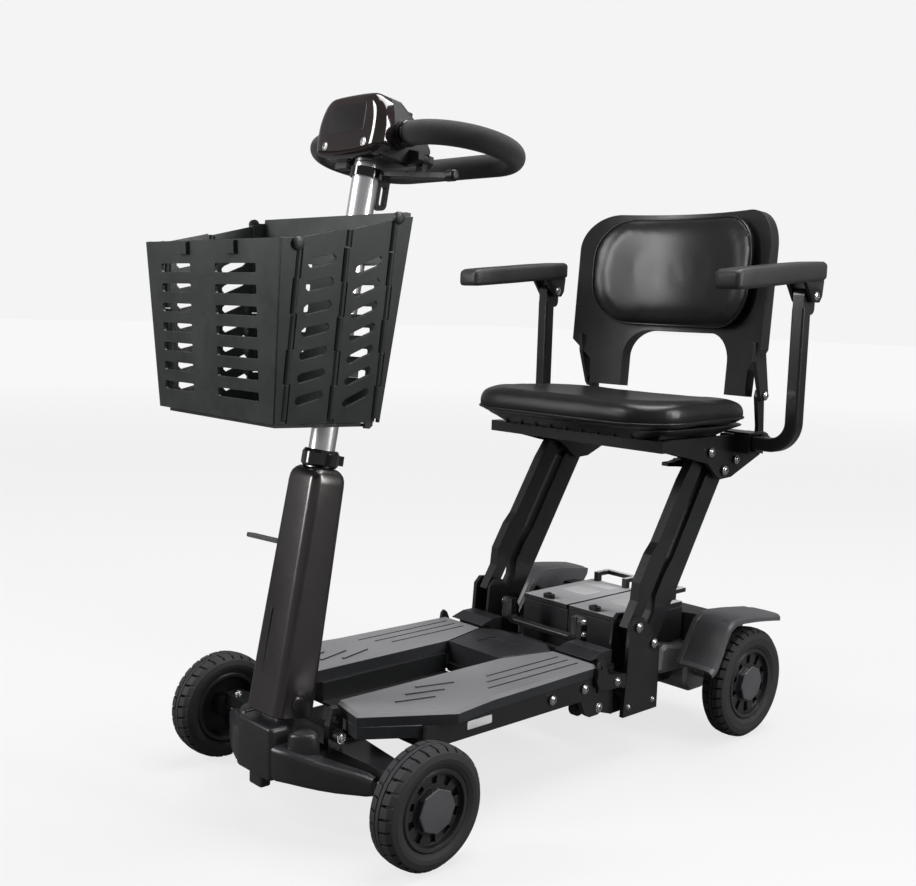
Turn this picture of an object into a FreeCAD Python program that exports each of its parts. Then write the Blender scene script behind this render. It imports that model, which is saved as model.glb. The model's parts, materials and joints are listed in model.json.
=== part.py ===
import FreeCAD, Part
import math
import os
import re
import Sketcher

# Four-wheel folding mobility scooter. Millimetres, +X to the rider's left, +Y to the rear,
# +Z up. The origin is on the ground, in the middle of the scooter's plan.

V = FreeCAD.Vector
doc = FreeCAD.newDocument("mobility_scooter")
sheet = doc.addObject("Spreadsheet::Sheet", "Sizes")

SIZES = [
    ("front_axle_y", -365, "front axle, from the middle of the scooter"),
    ("wheelbase", 794.4, "front axle to rear axle"),
    ("front_wheel_d", 178, "front tyre outside diameter"),
    ("front_wheel_w", 51, "front tyre width"),
    ("front_track", 263, "middle line to middle of a front tyre"),
    ("rear_wheel_d", 203, "rear tyre outside diameter"),
    ("rear_wheel_w", 47, "rear tyre width"),
    ("rear_track", 245.6, "middle line to middle of a rear tyre"),
    ("tread_depth", 3, "depth of the tread grooves"),
    ("kingpin_x", 214, "middle line to steering pin"),
    ("beam_out", 190, "outer face of the deck side beams"),
    ("beam_w", 38, "width of a deck side beam"),
    ("beam_low", 130, "underside of the deck beams"),
    ("beam_top", 166, "top of the deck beams"),
    ("deck_top", 186, "top of the foot panels"),
    ("deck_gap", 66, "half width of the channel between the foot panels"),
    ("lean", 10.1, "backward lean of the steering column, degrees"),
    ("head_y", -67.1, "steering axis at head height, behind the front axle"),
    ("head_z", 150, "height of the steering head datum"),
    ("column_w", 84, "width of the column at the foot"),
    ("column_d", 72, "depth of the column at the foot"),
    ("column_len", 386, "length of the column along its axis"),
    ("mast_d", 40, "mast tube diameter"),
    ("mast_top", 850, "top of the mast, along the steering axis"),
    ("console_w", 156, "width of the console"),
    ("console_low", 842, "underside of the console, along the steering axis"),
    ("console_top", 938, "top of the console, along the steering axis"),
    ("grip_d", 36, "outside diameter of the foam grip"),
    ("loop_half", 184, "half width of the handlebar loop"),
    ("basket_wall", 4, "thickness of the basket panels"),
    ("post_y", 587.4, "lower seat post pivot, behind the front axle"),
    ("post_z", 199, "height of the lower seat post pivot"),
    ("link_dy", -44.9, "link pivot from post pivot, fore and aft"),
    ("link_dz", 35.9, "link pivot from post pivot, up"),
    ("post_len", 343.8, "distance between the two pivots of a post"),
    ("post_lean", 31.4, "backward lean of the posts, degrees"),
    ("battery_w", 112, "width of one battery box"),
    ("battery_top", 227, "top of the batteries"),
    ("seat_half", 236, "half width of the seat cushion"),
    ("back_y", 863, "backrest hinge, behind the front axle"),
    ("back_z", 627.5, "height of the backrest hinge"),
    ("back_half", 228, "half width of the backrest shell"),
    ("arm_x", 305, "middle line to middle of an armrest"),
    ("arm_y", 818, "armrest tube, behind the front axle"),
    ("arm_tube", 25, "outside size of the armrest tube"),
    ("bolt_d", 13, "bolt head diameter"),
]
for row, (alias, number, note) in enumerate(SIZES, start=1):
    sheet.set("A%d" % row, alias)
    sheet.set("B%d" % row, str(number))
    sheet.set("C%d" % row, note)
    sheet.setAlias("B%d" % row, alias)
scratch = doc.addObject("Spreadsheet::Sheet", "Scratch")
KNOWN = {}
doc.recompute()


def sheet_names(text):
    """The same formula with every name marked as one of the size sheet's."""
    return re.sub(r"[a-z]\w*", lambda word: "Sizes." + word.group(0), str(text))


def value(text):
    """Number for a length written with the names of the size sheet."""
    if not isinstance(text, str):
        return float(text)
    if text not in KNOWN:
        scratch.set("A1", "=" + sheet_names(text))
        scratch.recompute()
        KNOWN[text] = float(scratch.get("A1"))
    return KNOWN[text]


def bind(thing, prop, text):
    """Drive one property from the size sheet."""
    thing.setExpression(prop, sheet_names(text))


# ---- sketches ---------------------------------------------------------------------------------

NORMAL = {"XY": 1, "YZ": 1, "XZ": -1}


def new_sketch(body, plane, off):
    """Sketch on a plane of the body, moved along the plane's own axis by off."""
    sketch = body.newObject("Sketcher::SketchObject", body.Name + "_sketch")
    face = [item for item in body.Origin.OriginFeatures if item.Role == plane + "_Plane"][0]
    sketch.AttachmentSupport = (face, [""])
    sketch.MapMode = "FlatFace"
    bind(sketch, "AttachmentOffset.Base.z", "%d*(%s)" % (NORMAL[plane], off))
    return sketch


def lock(sketch, item, corner, x, y):
    """Tie a point of the sketch to its place."""
    for kind, length, axis in (("DistanceX", x, -2), ("DistanceY", y, -1)):
        number = value(length)
        if abs(number) < 1e-6:
            sketch.addConstraint(Sketcher.Constraint("PointOnObject", item, corner, axis))
            continue
        index = sketch.addConstraint(Sketcher.Constraint(kind, -1, 1, item, corner, number))
        if isinstance(length, str):
            bind(sketch, "Constraints[%d]" % index, length)


def outline(sketch, points):
    """Closed outline through the points."""
    first = sketch.GeometryCount
    spots = [V(value(x), value(y), 0) for x, y in points]
    count = len(spots)
    for i in range(count):
        sketch.addGeometry(Part.LineSegment(spots[i], spots[(i + 1) % count]))
    for i in range(count):
        after = first + (i + 1) % count
        sketch.addConstraint(Sketcher.Constraint("Coincident", first + i, 2, after, 1))
    for i, (x, y) in enumerate(points):
        lock(sketch, first + i, 1, x, y)


def circle(sketch, x, y, across):
    """Circle of a given diameter."""
    item = sketch.addGeometry(Part.Circle(V(value(x), value(y), 0), V(0, 0, 1), value(across) / 2))
    lock(sketch, item, 3, x, y)
    index = sketch.addConstraint(Sketcher.Constraint("Diameter", item, value(across)))
    if isinstance(across, str):
        bind(sketch, "Constraints[%d]" % index, across)


def rounded(sketch, x, y, wide, high, radius):
    """Rectangle about a centre, with rounded corners."""
    cx, cy, w, h, r = [value(item) for item in (x, y, wide, high, radius)]
    first = sketch.GeometryCount
    a, b = w / 2, h / 2
    sides = [((-a + r, -b), (a - r, -b)), ((a, -b + r), (a, b - r)),
             ((a - r, b), (-a + r, b)), ((-a, b - r), (-a, -b + r))]
    hubs = [(a - r, -b + r, -90), (a - r, b - r, 0), (-a + r, b - r, 90), (-a + r, -b + r, 180)]
    for (start, end), (hx, hy, turn) in zip(sides, hubs):
        sketch.addGeometry(Part.LineSegment(V(cx + start[0], cy + start[1], 0),
                                            V(cx + end[0], cy + end[1], 0)))
        ring = Part.Circle(V(cx + hx, cy + hy, 0), V(0, 0, 1), r)
        sketch.addGeometry(Part.ArcOfCircle(ring, math.radians(turn), math.radians(turn + 90)))
    for i in range(4):
        line = first + 2 * i
        arc = line + 1
        after = first + (2 * i + 2) % 8
        sketch.addConstraint(Sketcher.Constraint("Tangent", line, 2, arc, 1))
        sketch.addConstraint(Sketcher.Constraint("Tangent", arc, 2, after, 1))
        flat = "Horizontal" if i % 2 == 0 else "Vertical"
        sketch.addConstraint(Sketcher.Constraint(flat, line))
        if i:
            sketch.addConstraint(Sketcher.Constraint("Equal", first + 1, arc))
    index = sketch.addConstraint(Sketcher.Constraint("Radius", first + 1, r))
    bind(sketch, "Constraints[%d]" % index, radius)
    spans = (("DistanceX", first + 6, first + 2, wide, w), ("DistanceY", first, first + 4, high, h))
    for kind, low, top, text, number in spans:
        index = sketch.addConstraint(Sketcher.Constraint(kind, low, 1, top, 1, number))
        bind(sketch, "Constraints[%d]" % index, text)
    lock(sketch, first + 3, 3, "(%s) + (%s)/2 - (%s)" % (x, wide, radius),
         "(%s) + (%s)/2 - (%s)" % (y, high, radius))


def draw(sketch, shapes):
    """Draw outlines, circles ("o") and rounded rectangles ("r") in one sketch."""
    for shape in shapes:
        if shape[0] == "o":
            circle(sketch, *shape[1:])
        elif shape[0] == "r":
            rounded(sketch, *shape[1:])
        else:
            outline(sketch, shape)


# ---- features ---------------------------------------------------------------------------------

NODES = []


def node(name, frame="chassis"):
    """New empty sub-part in one of the scooter's frames."""
    body = doc.addObject("PartDesign::Body", name)
    body.Label = name
    seat_in_frame(body, frame)
    NODES.append(body)
    return body


def seat_in_frame(thing, frame):
    """Put a sub-part in its frame."""
    place = {
        "chassis": ("0", "front_axle_y", "0", 0),
        "tiller": ("0", "front_axle_y + head_y", "head_z", -value("lean")),
        "front_wheel": ("front_track", "front_axle_y", "front_wheel_d/2", 0),
        "rear_wheel": ("rear_track", "front_axle_y + wheelbase", "rear_wheel_d/2", 0),
        "post": ("0", "front_axle_y + post_y", "post_z", -value("post_lean")),
        "link": ("0", "front_axle_y + post_y + link_dy", "post_z + link_dz", -value("post_lean")),
        "back": ("0", "front_axle_y + back_y", "back_z", -4),
    }[frame]
    thing.Placement = FreeCAD.Placement(V(0, 0, 0), FreeCAD.Rotation(V(1, 0, 0), place[3]))
    for axis, text in zip("xyz", place):
        bind(thing, "Placement.Base." + axis, text)


def extrude(body, kind, plane, low, high, shapes, taper=0):
    """Pad or pocket between two coordinates along the axis square to the plane."""
    sketch = new_sketch(body, plane, low)
    draw(sketch, shapes)
    feature = body.newObject("PartDesign::" + kind, body.Name + "_" + kind.lower())
    feature.Profile = sketch
    bind(feature, "Length", "(%s) - (%s)" % (high, low))
    feature.Reversed = (plane == "XZ") == (kind == "Pad")
    if taper:
        feature.TaperAngle = taper
    body.Tip = feature
    return feature


def pad(body, plane, low, high, *shapes, taper=0):
    """Add material."""
    return extrude(body, "Pad", plane, low, high, shapes, taper)


def pocket(body, plane, low, high, *shapes):
    """Take material away, and make sure that some went."""
    doc.recompute()
    before = body.Shape.Volume
    feature = extrude(body, "Pocket", plane, low, high, shapes)
    doc.recompute()
    if not body.Shape.Volume < before - 0.5:
        raise ValueError("pocket in %s cuts nothing" % body.Name)
    return feature


def revolve(body, plane, axis, points, angle=360):
    """Turn an outline about an axis of its sketch."""
    sketch = new_sketch(body, plane, 0)
    outline(sketch, points)
    feature = body.newObject("PartDesign::Revolution", body.Name + "_turned")
    feature.Profile = sketch
    feature.ReferenceAxis = (sketch, [axis])
    feature.Angle = angle
    body.Tip = feature
    return feature


def origin_axis(body, name):
    """One of the body's own axes."""
    return [item for item in body.Origin.OriginFeatures if item.Role == name + "_Axis"][0]


def around(body, feature, axis, count):
    """Repeat a feature in equal steps around an axis."""
    pattern = body.newObject("PartDesign::PolarPattern", body.Name + "_ring")
    pattern.Originals = [feature]
    pattern.Axis = (origin_axis(body, axis), [""])
    pattern.Angle = 360
    pattern.Occurrences = count
    body.Tip = pattern
    return pattern


def row_of(body, feature, axis, length, count, back=False):
    """Repeat a feature in equal steps along an axis."""
    pattern = body.newObject("PartDesign::LinearPattern", body.Name + "_row")
    pattern.Originals = [feature]
    pattern.Direction = (origin_axis(body, axis), [""])
    pattern.Reversed = back
    pattern.Length = length
    pattern.Occurrences = count
    body.Tip = pattern
    return pattern


def mirror_in(body, features):
    """Repeat features on the other side of the scooter's middle plane."""
    side = [item for item in body.Origin.OriginFeatures if item.Role == "YZ_Plane"][0]
    twin_feature = body.newObject("PartDesign::Mirrored", body.Name + "_mirrored")
    twin_feature.Originals = features
    twin_feature.MirrorPlane = (side, [""])
    body.Tip = twin_feature
    return twin_feature


def dress(body, kind, amount, pick):
    """Fillet or chamfer the edges that pick accepts."""
    doc.recompute()
    base = body.Tip
    names = []
    for number, edge in enumerate(base.Shape.Edges, start=1):
        if pick(edge):
            names.append("Edge%d" % number)
    feature = body.newObject("PartDesign::" + kind, body.Name + "_" + kind.lower())
    feature.Base = (base, names)
    if kind == "Fillet":
        feature.Radius = amount
    else:
        feature.Size = amount
    body.Tip = feature
    doc.recompute()
    if "Invalid" in feature.State or feature.Shape.isNull() or not feature.Shape.isValid():
        raise ValueError("%s on %s fails" % (kind, body.Name))
    return feature


def fillet(body, amount, pick):
    """Round some edges."""
    return dress(body, "Fillet", amount, pick)


def chamfer(body, amount, pick):
    """Bevel some edges."""
    return dress(body, "Chamfer", amount, pick)


def spans(edge):
    """Size of an edge along the three axes."""
    box = edge.BoundBox
    return box.XLength, box.YLength, box.ZLength


def runs(edge, axis):
    """True for a straight edge along one axis."""
    size = spans(edge)
    keep = "XYZ".index(axis)
    others = [size[i] for i in range(3) if i != keep]
    return size[keep] > 1 and max(others) < 0.01


def level(edge, z):
    """True for an edge that lies at one height."""
    box = edge.BoundBox
    return abs(box.ZMin - z) < 0.05 and abs(box.ZMax - z) < 0.05


def path_items(points, bend):
    """Lines and arcs along a bent path."""
    spots = [V(value(x), value(y), 0) for x, y in points]
    items = []
    start = spots[0]
    for i in range(1, len(spots) - 1):
        back = (spots[i - 1] - spots[i]).normalize()
        on = (spots[i + 1] - spots[i]).normalize()
        half = back.getAngle(on) / 2
        reach = bend / math.tan(half)
        first = spots[i] + back * reach
        last = spots[i] + on * reach
        middle = (back + on).normalize()
        hub = spots[i] + middle * (bend / math.sin(half))
        items.append(Part.LineSegment(start, first))
        items.append(Part.Arc(first, hub - middle * bend, last))
        start = last
    items.append(Part.LineSegment(start, spots[-1]))
    return items


def pipe(body, plane, points, bend, section, off="0"):
    """Bar swept along a bent path that starts along one of the body's axes."""
    path = new_sketch(body, plane, off)
    for item in path_items(points, bend):
        number = path.addGeometry(item)
        if number:
            path.addConstraint(Sketcher.Constraint("Coincident", number - 1, 2, number, 1))
    for number in range(path.GeometryCount):
        path.addConstraint(Sketcher.Constraint("Block", number))
    (x0, y0), (x1, y1) = [(value(x), value(y)) for x, y in points[:2]]
    across = abs(x1 - x0) > abs(y1 - y0)
    at = {
        ("XY", True): ("YZ", x0, y0, off), ("XY", False): ("XZ", y0, x0, off),
        ("XZ", True): ("YZ", x0, off, y0), ("XZ", False): ("XY", y0, x0, off),
        ("YZ", True): ("XZ", x0, off, y0), ("YZ", False): ("XY", y0, off, x0),
    }[(plane, across)]
    profile = new_sketch(body, at[0], at[1])
    if section[0] == "o":
        circle(profile, at[2], at[3], section[1])
    else:
        rounded(profile, at[2], at[3], section[1], section[2], section[3])
    feature = body.newObject("PartDesign::AdditivePipe", body.Name + "_pipe")
    feature.Profile = profile
    feature.Spine = (path, ["Edge%d" % (i + 1) for i in range(path.GeometryCount)])
    body.Tip = feature
    return feature


def twin(left, name):
    """Right-hand copy of a left-hand sub-part."""
    copy = doc.addObject("Part::Mirroring", name)
    copy.Label = name
    copy.Source = left
    copy.Normal = V(1, 0, 0)
    copy.Base = V(0, 0, 0)
    NODES.append(copy)
    return copy


# ---- wheels -----------------------------------------------------------------------------------

def tyre(name, frame, across, wide, rim_d, blocks):
    """Tyre with side walls, two rows of tread blocks and a middle rib."""
    body = node(name, frame)
    r = "%s/2" % across
    w = "%s/2" % wide
    bead = "%s/2" % rim_d
    revolve(body, "XY", "H_Axis", [
        ("-%s + 5" % w, bead), ("-%s + 1" % w, bead + " + 7"), ("-%s" % w, r + " - 16"),
        ("-%s + 2" % w, r + " - 8"), ("-%s + 9" % w, r + " - 1.5"), ("-5", r),
        ("-5", r + " - tread_depth"), ("-3", r + " - tread_depth"), ("-3", r),
        ("3", r), ("3", r + " - tread_depth"), ("5", r + " - tread_depth"), ("5", r),
        ("%s - 9" % w, r + " - 1.5"), ("%s - 2" % w, r + " - 8"), (w, r + " - 16"),
        ("%s - 1" % w, bead + " + 7"), ("%s - 5" % w, bead),
    ])
    gap = pocket(body, "XY", r + " - 7", r + " + 2",
                 [("5", "-3.6"), (w + " + 2", "-0.4"), (w + " + 2", "3.4"), ("5", "0.2")],
                 [("-%s - 2" % w, "6.6"), ("-5", "3.4"), ("-5", "7.2"), ("-%s - 2" % w, "10.4")])
    around(body, gap, "X", blocks)
    return body


def across(radius, degrees):
    """Point on a circle."""
    away = math.radians(degrees)
    return radius * math.cos(away), radius * math.sin(away)


def rim(name, frame, rim_d, wide, reach):
    """Ten-spoke rim with a faceted hub cap and a stub bore; reach is the hub's inner end."""
    body = node(name, frame)
    r = "%s/2" % rim_d
    w = "%s/2" % wide
    revolve(body, "XY", "H_Axis", [
        ("-%s + 6" % w, r + " - 0.4"), ("%s - 6" % w, r + " - 0.4"), ("%s - 3" % w, r + " - 3"),
        ("%s - 4" % w, r + " - 8"), ("%s - 14" % w, r + " - 10"), ("-%s + 14" % w, r + " - 10"),
        ("-%s + 4" % w, r + " - 8"), ("-%s + 3" % w, r + " - 3"),
    ])
    pad(body, "YZ", "%s - 20" % w, "%s - 12" % w, ("o", 0, 0, rim_d + " - 18"))
    pad(body, "YZ", reach, "%s - 10" % w, ("o", 0, 0, 40))
    window = pocket(body, "YZ", "%s - 18" % w, "%s - 8" % w, [
        (-5, 36), (5, 36), (7, r + " - 11"), (-7, r + " - 11")])
    around(body, window, "X", 10)
    bore = "12.6" if frame == "front_wheel" else "16.6"
    pocket(body, "YZ", "(%s) - 1" % reach, "%s - 14" % w, ("o", 0, 0, bore))
    points = []
    for i in range(4):
        points.append(across(34, 90 * i + 14))
        points.append(across(34, 90 * i + 52))
    pad(body, "YZ", "%s - 12" % w, "%s - 3" % w, points, taper=-20)
    return body


front_tyre = tyre("tyre_front_left", "front_wheel", "front_wheel_d", "front_wheel_w", 120, 30)
twin(front_tyre, "tyre_front_right")
front_rim = rim("rim_front_left", "front_wheel", "120", "front_wheel_w", "-22")
twin(front_rim, "rim_front_right")
rear_tyre = tyre("tyre_rear_left", "rear_wheel", "rear_wheel_d", "rear_wheel_w", 132, 34)
twin(rear_tyre, "tyre_rear_right")
rear_rim = rim("rim_rear_left", "rear_wheel", "132", "rear_wheel_w", "-20")
twin(rear_rim, "rim_rear_right")

# ---- front axle and steering --------------------------------------------------------------------

knuckle = node("knuckle_left")
pad(knuckle, "XY", 80, 98, ("o", "kingpin_x", 0, 30))
pad(knuckle, "XY", 68, 120, ("o", "kingpin_x", 0, 12))
pad(knuckle, "YZ", "kingpin_x + 10", 272, ("o", 0, "front_wheel_d/2", 12))
twin(knuckle, "knuckle_right")

front_frame = node("front_frame")
pad(front_frame, "XY", 100, 120, [
    (-232, -15), (-60, -24), (60, -24), (232, -15), (232, 15), (60, 40), (-60, 40), (-232, 15)])
pad(front_frame, "XY", 62, 78, [
    (196, -14), (232, -14), (232, 14), (196, 14)], [
    (-232, -14), (-196, -14), (-196, 14), (-232, 14)])
pad(front_frame, "XY", 62, 101, [(190, -14), (196.5, -14), (196.5, 14), (190, 14)],
    [(-196.5, -14), (-190, -14), (-190, 14), (-196.5, 14)])
pad(front_frame, "XY", 96, 126, [(-30, -86), (30, -86), (30, -20), (-30, -20)])
pad(front_frame, "YZ", 78, 90, [
    (-40, 122.4), (-25, 122.4), (-25, 118), (-14, 118), (-14, 168), (-21, 186), (-32, 186),
    (-40, 160)])
pocket(front_frame, "YZ", 77, 91, ("o", -27, 170, 12))
pad(front_frame, "YZ", 89, 104, ("o", -27, 144, 17))
pocket(front_frame, "XY", 60, 121.5, ("o", "kingpin_x", 0, 12.4), ("o", "-kingpin_x", 0, 12.4))

head_bore = doc.addObject("Part::Cylinder", "head_bore")
head_bore.Radius = 12.4
head_bore.Height = 70
seat_in_frame(head_bore, "tiller")
bind(head_bore, "Placement.Base.y", "front_axle_y + head_y - 10.5")
bind(head_bore, "Placement.Base.z", "head_z - 59.1")
head = doc.addObject("Part::Cut", "front_beam")
head.Base = front_frame
head.Tool = head_bore
head.Label = "front_beam"
NODES[NODES.index(front_frame)] = head

yoke = node("steer_yoke", "tiller")
pad(yoke, "XY", -50, -15, ("o", 0, 0, 24))
pad(yoke, "XY", -15.5, -9, ("o", 0, 0, 56))
pad(yoke, "YZ", -20, 20, [(-16, -10), (16, -10), (16, 44), (8, 52), (-8, 52), (-16, 44)])
pocket(yoke, "YZ", -21, 21, ("o", 0, 36, 12.4))


def column_ring(wide, deep):
    """Section of the column, with bevelled corners."""
    a = wide + "/2"
    b = deep + "/2"
    return [("-%s + 13" % a, "-" + b), ("%s - 13" % a, "-" + b), (a, "-%s + 13" % b),
            (a, "%s - 13" % b), ("%s - 13" % a, b), ("-%s + 13" % a, b),
            ("-" + a, "%s - 13" % b), ("-" + a, "-%s + 13" % b)]


column = node("column", "tiller")
foot = new_sketch(column, "XY", 14)
outline(foot, column_ring("column_w", "column_d"))
crown = new_sketch(column, "XY", "column_len - 12")
outline(crown, column_ring("(column_w - 10)", "(column_d - 10)"))
barrel = column.newObject("PartDesign::AdditiveLoft", "column_barrel")
barrel.Profile = foot
barrel.Sections = [crown]
column.Tip = barrel
pad(column, "XY", "column_len - 12", "column_len",
    column_ring("(column_w - 10)", "(column_d - 10)"), taper=-35)
pocket(column, "XZ", -25, 40, [(-21, 13), (21, 13), (21, 58), (-21, 58)])
pocket(column, "XY", 205, "column_len + 1", ("o", 0, 0, "mast_d + 0.8"))
pocket(column, "XZ", -38, -31.5, [(-19, 90), (-15, 90), (-15, 330), (-19, 330)])
pad(column, "YZ", -38, 38, ("o", 0, 36, 12))
pad(column, "XZ", -37.5, -34, ("o", 8, 58, 8))
pad(column, "XZ", -20, -15, ("r", -42, 262, 18, 16, 5))
pad(column, "XZ", 6, 11, ("r", -42, 262, 18, 16, 5))

lever = node("column_lever", "tiller")
pad(lever, "XZ", -14.4, 5.4, ("o", -45, 262, 12))
pad(lever, "XY", 259, 265, [
    (-44, -13), (-70, -20), (-112, -30), (-122, -26), (-120, -14), (-72, -2), (-44, 5)])
fillet(lever, 4, lambda edge: runs(edge, "Z") and edge.BoundBox.XMax < -111)

collar = node("collar", "tiller")
revolve(collar, "XZ", "V_Axis", [
    ("mast_d/2 + 0.3", "column_len"), (25, "column_len"), (28, "column_len + 4"),
    (28, "column_len + 21"), (25, "column_len + 26"), ("mast_d/2 + 0.3", "column_len + 26")])
pad(collar, "XY", "column_len + 5", "column_len + 20", [(-9, 24), (9, 24), (9, 38), (-9, 38)])

# ---- mast, console and handlebar ----------------------------------------------------------------

mast = node("mast", "tiller")
pad(mast, "XY", 260, "mast_top - 4", ("o", 0, 0, "mast_d"))
pocket(mast, "XY", 259, "mast_top - 60", ("o", 0, 0, "mast_d - 5"))

console = node("console_body", "tiller")
pad(console, "YZ", -62, 62, [
    (-22, 846), (30, 846), (62, 862), (70, 880), (44, 908), (-2, 934), (-22, 934)])
fillet(console, 9, lambda edge: runs(edge, "X") and edge.BoundBox.YMin > 0)
fillet(console, 6, lambda edge: not runs(edge, "X") and edge.BoundBox.YMax > -20
       and abs(abs(edge.BoundBox.XMin) - 62) < 0.1 and abs(spans(edge)[0]) < 0.1)
pad(console, "XY", 880, 908, ("o", 30, 32, 26))
pocket(console, "XY", 908, 940, ("o", 30, 32, 25))
pad(console, "XZ", 24, 34.6, [(58, 848), (80, 848), (87, 855), (85, 866), (58, 872)])
pad(console, "XZ", 45.4, 54, [(58, 850), (80, 848), (87, 855), (85, 866), (58, 872)])
pad(console, "XZ", 30, 50, ("o", 78, 857, 8))
pad(console, "YZ", -70, 70, ("o", 1, 886, 42))
pad(console, "YZ", -79.8, 79.8, ("o", 1, 886, "grip_d + 2"))
pad(console, "XY", 836, 847, [(-52, -21), (-24, -21), (-24, -6), (-52, -6)])

cover = node("console_cover", "tiller")
pad(cover, "XZ", -46, -22.3, [
    ("-console_w/2 + 6", "console_low + 4"), ("console_w/2 - 6", "console_low + 4"),
    ("console_w/2", "console_low + 40"), ("console_w/2 - 7", "console_top - 22"),
    ("console_w/2 - 28", "console_top"), ("28 - console_w/2", "console_top"),
    ("7 - console_w/2", "console_top - 22"), ("-console_w/2", "console_low + 40")])
fillet(cover, 12, lambda edge: runs(edge, "Y"))
fillet(cover, 8, lambda edge: edge.BoundBox.YMax < -45.9)
pad(cover, "XZ", -47.5, -45.5, ("o", -52, 860, 9), ("o", 52, 860, 9))

knob = node("speed_knob", "tiller")
pad(knob, "XY", 908.5, 931, ("o", 30, 32, 22))
rib = pocket(knob, "XY", 914, 932, ("o", 30, 43.4, 3))
for turn in range(1, 9):
    away = math.radians(40 * turn)
    pocket(knob, "XY", 914, 932,
           ("o", 30 + 11.4 * math.sin(away), 32 + 11.4 * math.cos(away), 3))

grip = node("handlebar", "tiller")
pipe(grip, "XY", [
    (80, 1), ("loop_half", 1), ("loop_half", 169), ("-loop_half", 169), ("-loop_half", 1),
    (-80, 1)], 83, ("o", "grip_d"), "886")

brake = node("brake_lever", "tiller")
pad(brake, "XZ", 35, 45, ("o", 78, 857, 17))
pocket(brake, "XZ", 34, 46, ("o", 78, 857, 8.5))
pad(brake, "XZ", 35, 45, [(71, 832), (85, 832), (85, 851.5), (80, 851.5), (76, 851.5), (71, 851.5)])
pad(brake, "XY", 829, 837, [(25, 14), (31, 9), (84, 26), (140, 43), (138, 53), (84, 44), (30, 24)])
pad(brake, "YZ", 130, 148, ("o", 48, 834, 17))
fillet(brake, 5, lambda edge: abs(edge.BoundBox.XMin - 148) < 0.1)

hook = node("bag_hook", "tiller")
pad(hook, "XY", 824, 838, ("o", 0, 0, 48))
pad(hook, "YZ", -5, 5, ("r", 33, 811, 22, 54, 10.5))
pocket(hook, "YZ", -6, 6, ("r", 34, 806, 11, 32, 5.2))
pocket(hook, "XY", 780, 842, ("o", 0, 0, "mast_d + 0.6"))

# ---- folding basket -----------------------------------------------------------------------------

BASKET_Y = -92
BASKET_Z = 610
SIDE_X = 146
SIDE_LEAN = 5.5
BASKET_LEAN = 1.8
PIN = 76


def basket_place(thing, x, y, z, lean, side):
    """Put a basket piece in its place: lean is backward, side is outward."""
    turn = FreeCAD.Rotation(V(1, 0, 0), -lean) * FreeCAD.Rotation(V(0, 1, 0), side)
    thing.Placement = FreeCAD.Placement(V(x, y, z), turn)
    bind(thing, "Placement.Base.y", "front_axle_y + (%s)" % y)


def knuckles(body, q, low, count, toward, tall=45):
    """Hinge knuckles along the pin at q, tied to the panel on the side of toward."""
    ring = pad(body, "XY", low, low + tall, ("o", 0, q, 9))
    arm = pad(body, "XY", low, low + tall, [
        ("-basket_wall/2", q), ("basket_wall/2", q),
        ("basket_wall/2", q + 8 * toward), ("-basket_wall/2", q + 8 * toward)])
    if count > 1:
        pattern = row_of(body, ring, "Z", 92 * (count - 1), count)
        pattern.Originals = [ring, arm]


def side_panel(name, near, far, near_top, far_top):
    """Half of a basket side: near is the edge at the middle hinge."""
    body = doc.addObject("PartDesign::Body", name)
    body.Label = name
    basket_place(body, SIDE_X, BASKET_Y, BASKET_Z, BASKET_LEAN, SIDE_LEAN)
    NODES.append(body)
    pad(body, "YZ", "-basket_wall/2", "basket_wall/2", [
        (near, 4), (far, 4), (far, far_top), (near, near_top)])
    reach = far - near
    rise = 6 if reach > 0 else -6
    slot = pocket(body, "YZ", -3, 3, [
        (near + 0.17 * reach, 35 - rise), (near + 0.24 * reach, 31 - rise),
        (near + 0.78 * reach, 34 + rise), (near + 0.85 * reach, 38 + rise),
        (near + 0.85 * reach, 43 + rise), (near + 0.78 * reach, 47 + rise),
        (near + 0.24 * reach, 43 - rise), (near + 0.17 * reach, 39 - rise)])
    row_of(body, slot, "Z", 180, 7)
    return body


rear_half = side_panel("basket_side_rear_left", 6, 70, 264, 282)
knuckles(rear_half, 0, 10, 3, 1)
knuckles(rear_half, PIN, 56.5, 2, -1)
front_half = side_panel("basket_side_front_left", -6, -70, 264, 247)
knuckles(front_half, 0, 56.5, 2, -1)
knuckles(front_half, 0, 240.5, 1, -1, 22)
knuckles(front_half, -PIN, 56.5, 2, 1)
twin(rear_half, "basket_side_rear_right")
twin(front_half, "basket_side_front_right")


def basket_wing(name, points, toward):
    """Return of the back or front panel, with its hinge knuckles, on the left side."""
    body = doc.addObject("PartDesign::Body", name)
    basket_place(body, SIDE_X, BASKET_Y, BASKET_Z, BASKET_LEAN, SIDE_LEAN)
    pad(body, "YZ", "-basket_wall/2", "basket_wall/2", points)
    knuckles(body, PIN * toward, 10, 3, toward)
    if toward > 0:
        knuckles(body, PIN, 240.5, 1, toward, 44)
    other = doc.addObject("Part::Mirroring", name + "_right")
    other.Source = body
    other.Normal = V(1, 0, 0)
    return [body, other]


def join(name, pieces):
    """One node made of several pieces."""
    whole = doc.addObject("Part::MultiFuse", name)
    whole.Label = name
    whole.Shapes = pieces
    NODES.append(whole)
    return whole


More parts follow.
